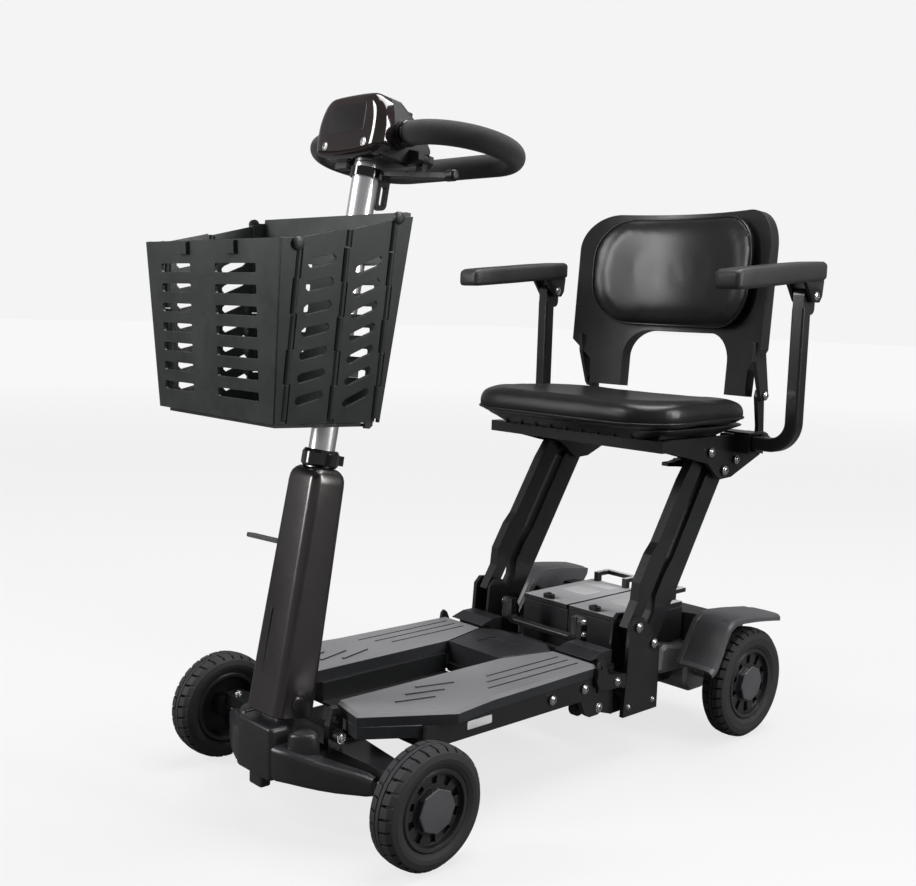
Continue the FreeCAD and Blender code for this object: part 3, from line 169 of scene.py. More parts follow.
LOOKS = {
    "tyre_rubber": surface("tyre_rubber", (0.022, 0.022, 0.024), 0.72, grain=900, bump=0.45,
                           wear=0.5, worn=(0.085, 0.085, 0.085)),
    "wheel_plastic": surface("wheel_plastic", (0.022, 0.0225, 0.024), 0.38, bump=0.25,
                             worn=(0.12, 0.12, 0.125)),
    "nose_plastic": surface("nose_plastic", (0.018, 0.0185, 0.02), 0.34, bump=0.3,
                            worn=(0.13, 0.13, 0.135)),
    # deck_grey: its paler upward faces are partly the foot panel's own grey and partly a painted
    # highlight, the white studio's reflection
    "deck_grey": surface("deck_grey", (0.022, 0.023, 0.025), 0.36, bump=0.28,
                         worn=(0.3, 0.3, 0.3), top=((0.17, 0.17, 0.175), 0.5, 0.15)),
    "basket_plastic": surface("basket_plastic", (0.022, 0.025, 0.025), 0.36, bump=0.35,
                              grain=1100, worn=(0.16, 0.17, 0.17), wear=0.5),
    "frame_black": surface("frame_black", (0.012, 0.0125, 0.0135), 0.30, bump=0.06,
                           coat=0.2, wear=0.12, worn=(0.12, 0.12, 0.12), spread=0.03,
                           rounding=0.0006),
    "column_grey": surface("column_grey", (0.098, 0.091, 0.090), 0.24, metal=0.9, bump=0.05,
                           mottle=0.06, spread=0.03, grain=1500, worn=(0.35, 0.33, 0.32)),
    "mast_silver": surface("mast_silver", (0.86, 0.86, 0.87), 0.30, metal=1.0, bump=0.02,
                           stretch=(1, 1, 0.02), grain=900, mottle=0.05, wear=0.0, spread=0.04,
                           rounding=0.0002),
    "gloss_black": surface("gloss_black", (0.01, 0.01, 0.011), 0.12, bump=0.03, grain=300,
                           coat=0.6, spread=0.04, worn=(0.2, 0.2, 0.2), wear=0.2),
    "console_brown": surface("console_brown", (0.016, 0.009, 0.009), 0.08, bump=0.02, grain=160,
                             coat=0.8, spread=0.03, wear=0.1, worn=(0.2, 0.15, 0.14)),
    "console_grey": surface("console_grey", (0.032, 0.032, 0.035), 0.4, bump=0.2,
                            worn=(0.14, 0.14, 0.14)),
    "grip_foam": surface("grip_foam", (0.022, 0.022, 0.022), 0.93, grain=950, bump=0.8,
                         depth=0.0007, cells=True, wear=0.0, sheen=0.15, mottle=0.25),
    "seat_vinyl": surface("seat_vinyl", (0.008, 0.008, 0.0085), 0.33, grain=1300, bump=0.14,
                          depth=0.0003, cells=True, wear=0.0, mottle=0.10, spread=0.015),
    "shell_plastic": surface("shell_plastic", (0.016, 0.016, 0.017), 0.36, bump=0.3,
                             worn=(0.12, 0.12, 0.12)),
    "armrest_black": surface("armrest_black", (0.026, 0.026, 0.027), 0.44, grain=1200, bump=0.35,
                             depth=0.0003, cells=True, wear=0.15),
    # battery_case: its paler top is partly the silver lid's own colour and partly painted light,
    # made paler to make up for the seat's shade
    "battery_case": surface("battery_case", (0.016, 0.016, 0.018), 0.4, bump=0.25,
                            worn=(0.2, 0.2, 0.2), top=((0.60, 0.60, 0.61), 0.8, 0.2255)),
    "fender_grey": surface("fender_grey", (0.075, 0.075, 0.079), 0.32, bump=0.2,
                           worn=(0.25, 0.25, 0.25)),
    "lever_black": surface("lever_black", (0.012, 0.012, 0.013), 0.34, bump=0.15,
                           worn=(0.14, 0.14, 0.14)),
    "drive_metal": surface("drive_metal", (0.34, 0.34, 0.345), 0.33, metal=0.8, bump=0.35,
                           grain=700, worn=(0.4, 0.4, 0.4)),
    "axle_steel": surface("axle_steel", (0.2, 0.2, 0.21), 0.34, metal=0.9, bump=0.1,
                          worn=(0.5, 0.5, 0.5)),
    "bolt_steel": surface("bolt_steel", (0.62, 0.62, 0.62), 0.24, metal=1.0, bump=0.08,
                          worn=(0.8, 0.8, 0.8), mottle=0.08, rounding=0.0004),
    "hex_cap_grey": surface("hex_cap_grey", (0.075, 0.075, 0.08), 0.4, bump=0.25,
                            worn=(0.2, 0.2, 0.2)),
    "label_grey": surface("label_grey", (0.72, 0.72, 0.73), 0.45, grain=600, bump=0.05,
                          wear=0.1, worn=(0.6, 0.6, 0.6)),
    "screen_dark": surface("screen_dark", (0.008, 0.006, 0.006), 0.05, bump=0.01, grain=80,
                           coat=1.0, spread=0.02, wear=0.0),
}

for row in frame["record"]["subparts"]:
    shown = NODES[row["node"]]
    shown.data.materials.clear()
    shown.data.materials.append(LOOKS[row["material_slot"]])

# ---- helpers ------------------------------------------------------------------------------------


def piece(name, verts, faces, body, look, smooth=True):
    """New mesh object that rides on a body."""
    mesh = bpy.data.meshes.new(name)
    mesh.from_pydata([tuple(v) for v in verts], [], faces)
    mesh.validate()
    obj = bpy.data.objects.new(name, mesh)
    scene.collection.objects.link(obj)
    mesh.materials.append(LOOKS[look])
    for face in mesh.polygons:
        face.use_smooth = smooth
    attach(obj, body)
    return obj


def skin_faces(rows, count, closed=False):
    """Quads between rows of count points; both ends are capped unless the rows make a loop."""
    faces = []
    for k in range(rows if closed else rows - 1):
        n = (k + 1) % rows
        for i in range(count):
            j = (i + 1) % count
            faces.append((k * count + i, k * count + j, n * count + j, n * count + i))
    if not closed:
        faces.append(tuple(reversed(range(count))))
        faces.append(tuple((rows - 1) * count + i for i in range(count)))
    return faces


def mirror(obj):
    """Turn a piece made on the left into its twin on the right."""
    obj.data.transform(Matrix.Scale(-1, 4, (1, 0, 0)))
    obj.data.flip_normals()


def lathe(name, at, axis, profile, body, look, sides=32):
    """Turned piece: profile is (radius, distance along the axis) from one end to the other."""
    turn = Vector(axis).normalized().to_track_quat("Z", "Y").to_matrix()
    verts = []
    for radius, along in profile:
        for i in range(sides):
            away = 2 * math.pi * i / sides
            local = Vector((radius * math.cos(away), radius * math.sin(away), along))
            verts.append(Vector(at) + turn @ local)
    faces = skin_faces(len(profile), sides)
    return piece(name, verts, faces, body, look, smooth=False)


def bolt(name, at, axis, body, head=0.012, tall=0.004):
    """Button-head bolt with a hexagonal socket, on a thin washer."""
    r = head / 2
    turn = Vector(axis).normalized().to_track_quat("Z", "Y").to_matrix()
    rings = [(r * 1.22, 0.0), (r * 1.22, 0.0009), (r, 0.0010), (r * 0.98, tall * 0.35),
             (r * 0.86, tall * 0.8), (r * 0.62, tall)]
    sides = 24
    verts = []

    def ring(radius, height, hexed=False):
        for i in range(sides):
            away = 2 * math.pi * i / sides
            far = radius
            if hexed:
                far = radius / math.cos((away % (math.pi / 3)) - math.pi / 6)
            verts.append(Vector(at) + turn @ Vector(
                (far * math.cos(away), far * math.sin(away), height)))

    for radius, height in rings:
        ring(radius, height)
    # the socket: its mouth and its floor
    ring(r * 0.42, tall, True)
    ring(r * 0.40, tall * 0.45, True)
    faces = skin_faces(len(rings) + 2, sides)
    return piece(name, verts, faces, body, "bolt_steel", smooth=False)


def tube(name, points, radius, body, look, sides=20, closed=False):
    """Round bar along a list of points, capped unless it is a closed loop."""
    points = [Vector(p) for p in points]
    count = len(points)
    verts = []
    across = None
    for i, spot in enumerate(points):
        before = points[i - 1] if (i or closed) else spot
        after = points[(i + 1) % count] if (i < count - 1 or closed) else spot
        along = (after - before).normalized()
        if across is None:
            across = along.orthogonal().normalized()
        across = (across - along * across.dot(along)).normalized()
        other = along.cross(across)
        for k in range(sides):
            away = 2 * math.pi * k / sides
            verts.append(spot + radius * (math.cos(away) * across + math.sin(away) * other))
    return piece(name, verts, skin_faces(count, sides, closed), body, look)


def swell(obj, pressure=4.0, cap=0.007, voxel=0.005):
    """Blow a closed mesh up a little as cloth, smooth it, and bring it back to its first box.

    No point moves further than cap, and the result still meets its seam."""
    bpy.context.view_layer.objects.active = obj
    remesh = obj.modifiers.new("remesh", "REMESH")
    remesh.mode = "VOXEL"
    remesh.voxel_size = voxel
    remesh.use_smooth_shade = True
    bpy.ops.object.modifier_apply(modifier="remesh")
    start = np.array([v.co for v in obj.data.vertices])
    cloth = obj.modifiers.new("stuffing", "CLOTH")
    cloth.settings.quality = 6
    cloth.settings.mass = 0.25
    cloth.settings.tension_stiffness = 18
    cloth.settings.compression_stiffness = 18
    cloth.settings.shear_stiffness = 8
    cloth.settings.bending_stiffness = 2
    cloth.settings.use_pressure = True
    cloth.settings.uniform_pressure_force = pressure
    cloth.settings.effector_weights.gravity = 0
    for number in range(1, 21):
        scene.frame_set(number)
    posed = obj.evaluated_get(bpy.context.evaluated_depsgraph_get())
    end = np.array([v.co for v in posed.data.vertices])
    step = end - start
    length = np.linalg.norm(step, axis=1, keepdims=True)
    step *= np.minimum(1.0, cap / np.maximum(length, 1e-9))
    obj.modifiers.remove(cloth)
    obj.data.vertices.foreach_set("co", (start + step).ravel())
    obj.data.update()
    calm = obj.modifiers.new("calm", "SMOOTH")
    calm.factor = 0.5
    calm.iterations = 10
    bpy.ops.object.modifier_apply(modifier="calm")
    spots = np.array([v.co for v in obj.data.vertices])
    low, high = spots.min(axis=0), spots.max(axis=0)
    share = (spots - low) / (high - low)
    spots = start.min(axis=0) + share * (start.max(axis=0) - start.min(axis=0))
    obj.data.vertices.foreach_set("co", spots.ravel())
    obj.data.update()
    scene.frame_set(1)


def subdivide(obj, levels=1):
    bpy.context.view_layer.objects.active = obj
    sub = obj.modifiers.new("subdivide", "SUBSURF")
    sub.levels = levels
    sub.render_levels = levels
    bpy.ops.object.modifier_apply(modifier="subdivide")
    for face in obj.data.polygons:
        face.use_smooth = True


def stacked(outline, centre, rings, shape):
    """Closed form from rings: each ring is (scale in x, scale in y, height) of the outline."""
    verts = []
    for sx, sy, height in rings:
        for x, y in outline:
            verts.append(shape(centre[0] + sx * x, centre[1] + sy * y, height))
    return verts, skin_faces(len(rings), len(outline))


def smooth_ring(points, rounds=3):
    """Closed outline with its corners cut again and again, so that they become round."""
    for _ in range(rounds):
        cut = []
        for (ax, ay), (bx, by) in zip(points, points[1:] + points[:1]):
            cut.append((0.75 * ax + 0.25 * bx, 0.75 * ay + 0.25 * by))
            cut.append((0.25 * ax + 0.75 * bx, 0.25 * ay + 0.75 * by))
        points = cut
    return points


def rounded_ring(half_x, half_y, radius, steps=6):
    """Rounded rectangle about the origin."""
    spots = []
    for k in range(4):
        cx = (half_x - radius) * (1 if k in (0, 3) else -1)
        cy = (half_y - radius) * (1 if k in (0, 1) else -1)
        for i in range(steps + 1):
            away = math.radians(90 * k + 90 * i / steps)
            spots.append((cx + radius * math.cos(away), cy + radius * math.sin(away)))
    return spots


def even_ring(points, count=120):
    """The same closed outline with its points at even distances."""
    spots = [Vector(p) for p in points]
    reach = [0.0]
    for a, b in zip(spots, spots[1:] + spots[:1]):
        reach.append(reach[-1] + (b - a).length)
    ring, k = [], 0
    for i in range(count):
        goal = reach[-1] * i / count
        while reach[k + 1] < goal:
            k += 1
        share = (goal - reach[k]) / max(reach[k + 1] - reach[k], 1e-9)
        spot = spots[k].lerp(spots[(k + 1) % len(spots)], share)
        ring.append((spot.x, spot.y))
    return ring


# ---- seat cushion -------------------------------------------------------------------------------

CUSHION_LOW, CUSHION_RISE, CUSHION_SEAM = 0.590, 0.036, 0.5905
WELT = 0.0022
low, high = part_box("seat_cushion")
SEAT_MID = ((low.x + high.x) / 2, (low.y + high.y) / 2)
SEAT_HALF = ((high.x - low.x) / 2, (high.y - low.y) / 2)


def seat_shape(x, y, z):
    """Cushion: dished on top, thick and rolled at the front, thinner at the rear."""
    u = (x - SEAT_MID[0]) / SEAT_HALF[0]
    v = (y - SEAT_MID[1]) / SEAT_HALF[1]
    lift = max(0.0, min(1.0, (z - CUSHION_LOW) / CUSHION_RISE))
    z -= lift * 0.015 * max(0.0, 1 - u * u) * max(0.0, 1 - (v - 0.1) ** 2)
    z -= lift * 0.008 * max(0.0, -v - 0.4) ** 2
    z -= lift * 0.004 * max(0.0, v)
    z -= (1 - lift) * 0.004 * max(0.0, -v)
    return Vector((x, y, z))


rim_line = even_ring(rounded_ring(SEAT_HALF[0] - 0.003, SEAT_HALF[1] - 0.003, 0.085))
verts, faces = stacked(rim_line, SEAT_MID, [
    (0.3, 0.3, 0.578), (0.8, 0.78, 0.578), (0.94, 0.925, 0.579), (0.985, 0.98, 0.584),
    (1.0, 1.0, 0.593), (1.0, 0.999, 0.603), (0.992, 0.987, 0.613), (0.972, 0.960, 0.621),
    (0.94, 0.915, 0.626), (0.89, 0.85, 0.6285), (0.8, 0.75, 0.6290), (0.65, 0.6, 0.6290),
    (0.45, 0.42, 0.6290), (0.22, 0.2, 0.6290)], seat_shape)
cushion = piece("seat_cushion_vinyl", verts, faces, "seat", "seat_vinyl")
swell(cushion, pressure=3.0, cap=0.0025)
subdivide(cushion, 1)
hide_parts("seat_cushion")
seam = [seat_shape(SEAT_MID[0] + 1.001 * x, SEAT_MID[1] + 1.001 * y, CUSHION_SEAM)
        for x, y in rim_line]
welt = tube("seat_cushion_seam", seam, WELT, "seat", "seat_vinyl", sides=10, closed=True)

# ---- back pad -----------------------------------------------------------------------------------

BACK = Matrix.Translation((0, 0.498, 0.6275)) @ Matrix.Rotation(math.radians(-4), 4, "X")
SPAN, MIDDLE_DEPTH, SIDE_DEPTH = 0.194, -0.0108, -0.057
PAD_HEIGHT, PAD_SEAM = 0.227, 0.0175


def back_shape(x, z, out):
    """A point on the curved back, out in front of the pad's rear face."""
    bow = MIDDLE_DEPTH + 0.025 + (SIDE_DEPTH - MIDDLE_DEPTH) * (x / SPAN) ** 2
    return BACK @ Vector((x, bow - 0.0012 - out, z))


pad_line = even_ring(rounded_ring(0.187, 0.1035, 0.080))
verts, faces = stacked(pad_line, (0, PAD_HEIGHT), [
    (0.3, 0.3, 0.0), (0.75, 0.72, 0.0), (0.95, 0.93, 0.0), (0.99, 0.985, 0.002),
    (1.008, 1.014, 0.008), (1.008, 1.014, 0.015), (0.995, 0.99, 0.0195), (0.965, 0.945, 0.0225),
    (0.92, 0.88, 0.0255), (0.85, 0.79, 0.0280), (0.72, 0.66, 0.0300), (0.5, 0.46, 0.0312),
    (0.24, 0.22, 0.0316)], back_shape)
back_pad = piece("backrest_pad_vinyl", verts, faces, "backrest", "seat_vinyl")
swell(back_pad, pressure=3.0, cap=0.002)
subdivide(back_pad, 1)
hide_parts("backrest_pad")
seam = [back_shape(1.006 * x, PAD_HEIGHT + 1.010 * y, PAD_SEAM) for x, y in pad_line]
welt = tube("backrest_pad_seam", seam, WELT, "backrest", "seat_vinyl", sides=10, closed=True)

# ---- foam loop of the handlebar -----------------------------------------------------------------

TILT = math.radians(10.1)
TILLER = Matrix.Translation((0, -0.4321, 0.150)) @ Matrix.Rotation(-TILT, 4, "X")
BAR_HEIGHT = 0.886


def loop_line(half, near, far, bend, start):
    """Points along the U of the handlebar in the tiller's frame."""
    spots = [(start, near), (half - bend, near)]
    for i in range(1, 17):
        away = math.radians(-90 + 90 * i / 16)
        spots.append((half - bend + bend * math.cos(away), near + bend + bend * math.sin(away)))
    for i in range(1, 17):
        away = math.radians(90 * i / 16)
        spots.append((half - bend + bend * math.cos(away), far - bend + bend * math.sin(away)))
    return spots


half_loop = loop_line(0.184, 0.001, 0.169, 0.083, 0.080)
path = half_loop + [(-x, y) for x, y in reversed(half_loop)]
line = [TILLER @ Vector((x, y, BAR_HEIGHT)) for x, y in path]
even = []
for a, b in zip(line, line[1:]):
    parts = max(1, round((b - a).length / 0.006))
    even += [a.lerp(b, i / parts) for i in range(parts)]
even.append(line[-1])
for side, name in SIDES:
    spot = TILLER @ Vector((side * 0.079, 0.001, BAR_HEIGHT))
    lathe("handlebar_ring_" + name, spot, (side, 0, 0), [
        (0.0150, 0.0), (0.0190, 0.0008), (0.0194, 0.003), (0.0194, 0.008), (0.0186, 0.0095)],
        "mast", "gloss_black")
foam = tube("handlebar_foam", even, 0.0179, "mast", "grip_foam", sides=32)
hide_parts("handlebar")

# ---- lofted covers ------------------------------------------------------------------------------


def loft(name, sections, body, look, smooth_angle=35):
    """Skin over sections of equal count, closed at both ends, shaded smooth up to an angle."""
    verts = [v for ring in sections for v in ring]
    obj = piece(name, verts, skin_faces(len(sections), len(sections[0])), body, look)
    form = bmesh.new()
    form.from_mesh(obj.data)
    bmesh.ops.recalc_face_normals(form, faces=form.faces)
    form.to_mesh(obj.data)
    form.free()
    obj.data.set_sharp_from_angle(angle=math.radians(smooth_angle))
    return obj


def block(name, ring, low, high, radius, body, look, place=Matrix.Identity(4), taper=0.0):
    """Block with rounded edges: ring is its outline, low and high its two ends."""
    cx = sum(x for x, y in ring) / len(ring)
    cy = sum(y for x, y in ring) / len(ring)
    reach = max(max(abs(x - cx), abs(y - cy)) for x, y in ring)
    sections = []
    steps = [(1.0, 0.0), (0.62, 0.08), (0.29, 0.29), (0.08, 0.62), (0.0, 1.0)]
    stack = [(inset * radius, low + rise * radius) for inset, rise in steps]
    stack += [(inset * radius, high - rise * radius) for inset, rise in reversed(steps)]
    for inset, level in stack:
        share = 1 - (inset + taper * (level - low) / (high - low)) / reach
        sections.append([place @ Vector((cx + share * (x - cx), cy + share * (y - cy), level))
                         for x, y in ring])
    return loft(name, sections, body, look)


# turns a block's outline into the side view, with its height along x
FACE_X = Matrix(((0, 0, 1, 0), (1, 0, 0, 0), (0, 1, 0, 0), (0, 0, 0, 1)))


def plate(name, points, low, high, body, look, radius=0.0012):
    """Flat plate in the side view: points are (y behind the front axle, z) in millimetres."""
    ring = []
    spots = [(mm(y) + AXLE, mm(z)) for y, z in points]
    for (ax, ay), (bx, by) in zip(spots, spots[1:] + spots[:1]):
        for share in (0.06, 0.5, 0.94):
            ring.append((ax + share * (bx - ax), ay + share * (by - ay)))
    return block(name, ring, low, high, radius, body, look, place=FACE_X)


# steering column
def column_ring(share, drop=0.0):
    wide = 0.042 - 0.005 * share - drop
    deep = 0.036 - 0.005 * share - drop
    return rounded_ring(wide, deep, max(0.0135 - 0.4 * drop, 0.004))


levels = [(0.014, 0.0, 0.002), (0.016, 0.0, 0.0)]
levels += [(0.016 + 0.346 * i / 12, i / 12, 0.0) for i in range(1, 13)]
levels += [(0.370, 1.0, 0.0007), (0.376, 1.0, 0.0025), (0.381, 1.0, 0.006), (0.3845, 1.0, 0.0105),
           (0.386, 1.0, 0.016)]
skin = loft("column_shell", [[TILLER @ Vector((x, y, level)) for x, y in column_ring(share, drop)]
                             for level, share, drop in levels], "column", "column_grey")
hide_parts("column")
block("column_seam", rounded_ring(0.0009, 0.062, 0.0008, 3), -0.0006, 0.0006, 0.0003, "column",
      "gloss_black", TILLER @ Matrix.Translation((-0.012, -0.0347, 0.108))
      @ Matrix.Rotation(math.radians(90), 4, "X"))
for side in (1, -1):
    block("column_boss_%s" % ("left" if side > 0 else "right"), rounded_ring(0.011, 0.011, 0.0108),
          0.0, 0.004, 0.0015, "column", "column_grey",
          TILLER @ Matrix.Translation((side * 0.0405, 0, 0.036))
          @ Matrix.Rotation(math.radians(90 * side), 4, "Y"))
block("column_lever_boss", rounded_ring(0.008, 0.009, 0.005), 0.0, 0.014, 0.002, "column",
      "lever_black", TILLER @ Matrix.Translation((-0.034, -0.0045, 0.262))
      @ Matrix.Rotation(math.radians(-90), 4, "Y"))

# console cover, smoked and glossy, with a screen and two screws
cover_line = smooth_ring([
    (-0.073, 0.845), (0.073, 0.845), (0.0785, 0.872), (0.077, 0.905), (0.060, 0.936),
    (0.030, 0.9385), (-0.030, 0.9385), (-0.060, 0.936), (-0.077, 0.905), (-0.0785, 0.872)])
rings = []
for share, depth in ((1.0, -0.0223), (1.0, -0.036), (0.99, -0.0395), (0.965, -0.043),
                     (0.92, -0.0462), (0.86, -0.0482), (0.78, -0.0493), (0.5, -0.0498)):
    rings.append([TILLER @ Vector((share * x, depth, 0.892 + share * (s - 0.892)))
                  for x, s in cover_line])
cover = loft("console_cover_gloss", rings, "mast", "console_brown", 50)
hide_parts("console_cover")
block("console_screen", rounded_ring(0.042, 0.021, 0.006), 0.0, 0.0009, 0.0004, "mast",
      "screen_dark", TILLER @ Matrix.Translation((0, -0.0492, 0.900))
      @ Matrix.Rotation(math.radians(90), 4, "X"))
forward = TILLER.to_3x3() @ Vector((0, -1, 0))
for side, name in SIDES:
    bolt("console_screw_" + name, TILLER @ Vector((side * 0.046, -0.0490, 0.862)), forward,
         "mast", head=0.0105, tall=0.0024)

# nose cover
base = block("nose_bumper", [(x, y + AXLE) for x, y in rounded_ring(0.047, 0.019, 0.008)], 0.080,
             0.158, 0.006, "deck", "nose_plastic", Matrix.Translation((0, -0.093, 0)), taper=0.003)
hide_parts("nose_cover")
block("nose_foot", rounded_ring(0.017, 0.009, 0.004), 0.060, 0.082, 0.003, "deck", "nose_plastic",
      Matrix.Translation((0, AXLE - 0.098, 0)))
# (x, y behind the axle, top, height, half thickness) from the middle to the tip
WING = [(0.030, -0.090, 0.134, 0.052, 0.019), (0.048, -0.090, 0.133, 0.052, 0.019),
        (0.066, -0.083, 0.131, 0.050, 0.018), (0.086, -0.074, 0.127, 0.047, 0.017),
        (0.108, -0.063, 0.122, 0.043, 0.016), (0.132, -0.051, 0.118, 0.039, 0.0145),
        (0.156, -0.038, 0.115, 0.035, 0.0125), (0.172, -0.030, 0.112, 0.031, 0.0115),
        (0.181, -0.026, 0.109, 0.026, 0.010)]
for side, name in SIDES:
    rings = []
    for i, (x, y, top, tall, thick) in enumerate(WING):
        before, after = WING[max(i - 1, 0)], WING[min(i + 1, len(WING) - 1)]
        along = Vector((after[0] - before[0], after[1] - before[1], 0)).normalized()
        out = Vector((along.y, -along.x, 0))
        rings.append([])
        for a, b in rounded_ring(thick, tall / 2, 0.0085):
            spot = Vector((x, y + AXLE, top - tall / 2)) + out * a + Vector((0, 0, b))
            rings[-1].append(Vector((side * spot.x, spot.y, spot.z)))
    wing = loft("nose_wing_" + name, rings, "deck", "nose_plastic")
    shape = [(0.052, -0.101), (0.092, -0.083), (0.096, -0.050), (0.062, -0.046), (0.050, -0.060)]
    ring = smooth_ring([(side * x, y + AXLE) for x, y in shape], 2)
    horn = block("nose_horn_" + name, ring, 0.108, 0.154, 0.006, "deck", "nose_plastic",
                 taper=0.006)

# ---- armrest pads -------------------------------------------------------------------------------

ARM_X = 0.305
# (y, z, half height, half width) from the front end to the rear end, millimetres
ARM = [(582, 830, 8, 17), (583.5, 830.5, 12.5, 21.5), (587, 831, 15.2, 24.5), (594, 832, 16.8, 26),
       (630, 835.5, 17.3, 26), (700, 842, 17.5, 25.5), (770, 849, 17.5, 25.5),
       (830, 854, 17.5, 26), (848, 855.5, 16.8, 26), (854, 856, 15, 24.5), (857, 856, 12, 21.5),
       (858.5, 856, 7, 17)]
for side, name in SIDES:
    rings = []
    for y, z, tall, wide in ARM:
        rings.append([Vector((side * ARM_X + a, mm(y) + AXLE,
                              mm(z) + b + mm(0.10 * tall) * math.cos(a / mm(wide) * 1.5)))
                      for a, b in rounded_ring(mm(wide), mm(tall), mm(0.45 * tall), 5)])
    rest = loft("armrest_pad_" + name, rings, "armrest_" + name, "armrest_black", 60)
    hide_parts("armrest_" + name)
    for k, x in ((0, 0.284), (1, 0.319)):
        flank = plate("armrest_plate_%s_%d" % (name, k), [
            (820, 801), (842, 801), (850, 812), (854, 842), (792, 838), (806, 820)],
            x, x + 0.007, "armrest_" + name, "frame_black")
        if side < 0:
            mirror(flank)
    for k, x in ((0, 0.326), (1, 0.284)):
        out = side if k == 0 else -side
        bolt("armrest_bolt_%s_%d" % (name, k), (side * x, mm(831) + AXLE, 0.812), (out, 0, 0),
             "armrest_" + name, head=0.013, tall=0.003)

# ---- fenders ------------------------------------------------------------------------------------

# top line of a fender in the side view, millimetres
PATH = [(653, 150), (664, 156), (676, 176), (690, 204), (702, 222), (720, 232), (745, 233.5),
        (790, 230), (835, 224.5), (868, 219.5)]
for side, name in SIDES:
    path = [PATH[0]]
    for (ay, az), (by, bz) in zip(PATH, PATH[1:]):
        path += [(0.85 * ay + 0.15 * by, 0.85 * az + 0.15 * bz),
                 (0.15 * ay + 0.85 * by, 0.15 * az + 0.85 * bz)]
    path.append(PATH[-1])
    rings = []
    for i, (y, z) in enumerate(path):
        before, after = path[max(i - 1, 0)], path[min(i + 1, len(path) - 1)]
        along = Vector((after[0] - before[0], after[1] - before[1])).normalized()
        normal = (-along.y, along.x)
        rings.append([])
        for x, rise in ((206, -2), (206, 2), (214, 3.5), (240, 4), (262, 3.5), (270, 2), (274, -2),
                        (274.5, -9), (272, -9), (270.5, -3), (262, -1), (214, -1)):
            rings[-1].append(Vector((mm(side * x), mm(y + rise * normal[0]) + AXLE,
                                     mm(z + rise * normal[1]))))
    guard = loft("fender_" + name, rings, "rear_half", "fender_grey", 14)
    if side > 0:
        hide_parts("fenders")
    web = plate("fender_web_" + name, [
        (652, 152), (664, 148), (704, 210), (760, 168), (832, 168), (866, 210), (868, 222),
        (790, 232), (745, 236), (720, 235), (700, 225)], 0.1965, 0.2066, "rear_half",
        "fender_grey", 0.0015)
    if side < 0:
        mirror(web)

# ---- bowl under the cushion ---------------------------------------------------------------------

rings = []
for z, half_x, half_y, y in ((0.5566, 0.184, 0.112, 0.312), (0.5574, 0.188, 0.117, 0.312),
                             (0.5620, 0.194, 0.125, 0.312), (0.5680, 0.204, 0.132, 0.314),
                             (0.5725, 0.213, 0.139, 0.316), (0.5745, 0.216, 0.142, 0.317),
                             (0.5764, 0.216, 0.142, 0.317)):
    rings.append([Vector((a, y + b, z)) for a, b in rounded_ring(half_x, half_y, 0.050)])
bowl = loft("seat_pan_bowl", rings, "seat", "shell_plastic", 30)
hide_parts("seat_pan")
for number in range(9):
    x = -0.150 + 0.0375 * number
    block("seat_pan_rib_%d" % number, rounded_ring(0.0016, 0.0075, 0.0012, 3), 0.5570, 0.5745,
          0.0006, "seat", "frame_black", Matrix.Translation((x, 0.1925, 0)))

# ---- basket corners -----------------------------------------------------------------------------

LEAN = (Matrix.Translation((0, AXLE - 0.092, 0.610))
        @ Matrix.Rotation(math.radians(-1.8), 4, "X"))
for side, name in SIDES:
    wall = LEAN @ Matrix.Translation((side * 0.146, 0, 0)) @ Matrix.Rotation(
        math.radians(5.5 * side), 4, "Y")
    for place, y, z, body in (("corner", -0.080, 0.238, "basket_front"),
                              ("rear", 0.080, 0.286, "mast")):
        outward = (wall.to_3x3() @ Vector((side, 0, 0))).normalized()
        lathe("basket_boss_%s_%s" % (place, name), wall @ Vector((side * 0.0005, y, z)), outward, [
            (0.0085, 0.0), (0.0085, 0.005), (0.0072, 0.0068), (0.004, 0.0075), (0.0, 0.0076)],
            body, "basket_plastic")

# ---- bolts, labels and small trim ---------------------------------------------------------------

# axis of the seat's pivots in the side view: posts 343.8 mm long, leaning 31.4 degrees
TOP = (587.4 + 343.8 * math.sin(math.radians(31.4)), 199 + 343.8 * math.cos(math.radians(31.4)))
# (name, x in metres, y, z in millimetres, body, head)
SIDE_BOLTS = [
    ("deck_bolt_front", 0.193, 332, 149, "deck", 0.013),
    ("deck_bolt_rear", 0.193, 411, 151, "deck", 0.013),
    ("deck_pivot_bolt", 0.190, 451.7, 109.7, "deck", 0.014),
    ("hinge_plate_bolt", 0.199, 488, 150, "rear_half", 0.012),
    ("post_pivot_bolt", 0.198, 587.4, 199, "rear_half", 0.014),
    ("link_pivot_bolt", 0.198, 542.5, 234.9, "rear_half", 0.014),
    ("bracket_bolt_low", 0.195, 525, 96, "rear_half", 0.008),
    ("bracket_bolt_back", 0.195, 592, 96, "rear_half", 0.008),
    ("lift_pivot_bolt", 0.098, 513, 226, "rear_half", 0.013),
    ("lift_lug_bolt", 0.098, 513, 203, "rear_half", 0.012),
    ("seat_pivot_bolt", 0.202, TOP[0], TOP[1], "seat", 0.014),
    ("seat_link_bolt", 0.202, TOP[0] - 44.9, TOP[1] + 35.9, "seat", 0.014),
    ("seat_stop_bolt", 0.202, 802, 510, "seat", 0.013),
    ("backrest_pivot_bolt", 0.216, 863, 627.5, "seat", 0.013)]
for label, x, y, z, body, head in SIDE_BOLTS:
    for side, name in SIDES:
        bolt("%s_%s" % (label, name), (side * x, mm(y) + AXLE, mm(z)), (side, 0, 0), body,
             head=head)
bolt("front_bracket_bolt", (0.104, AXLE - 0.027, 0.144), (1, 0, 0), "deck", head=0.013)
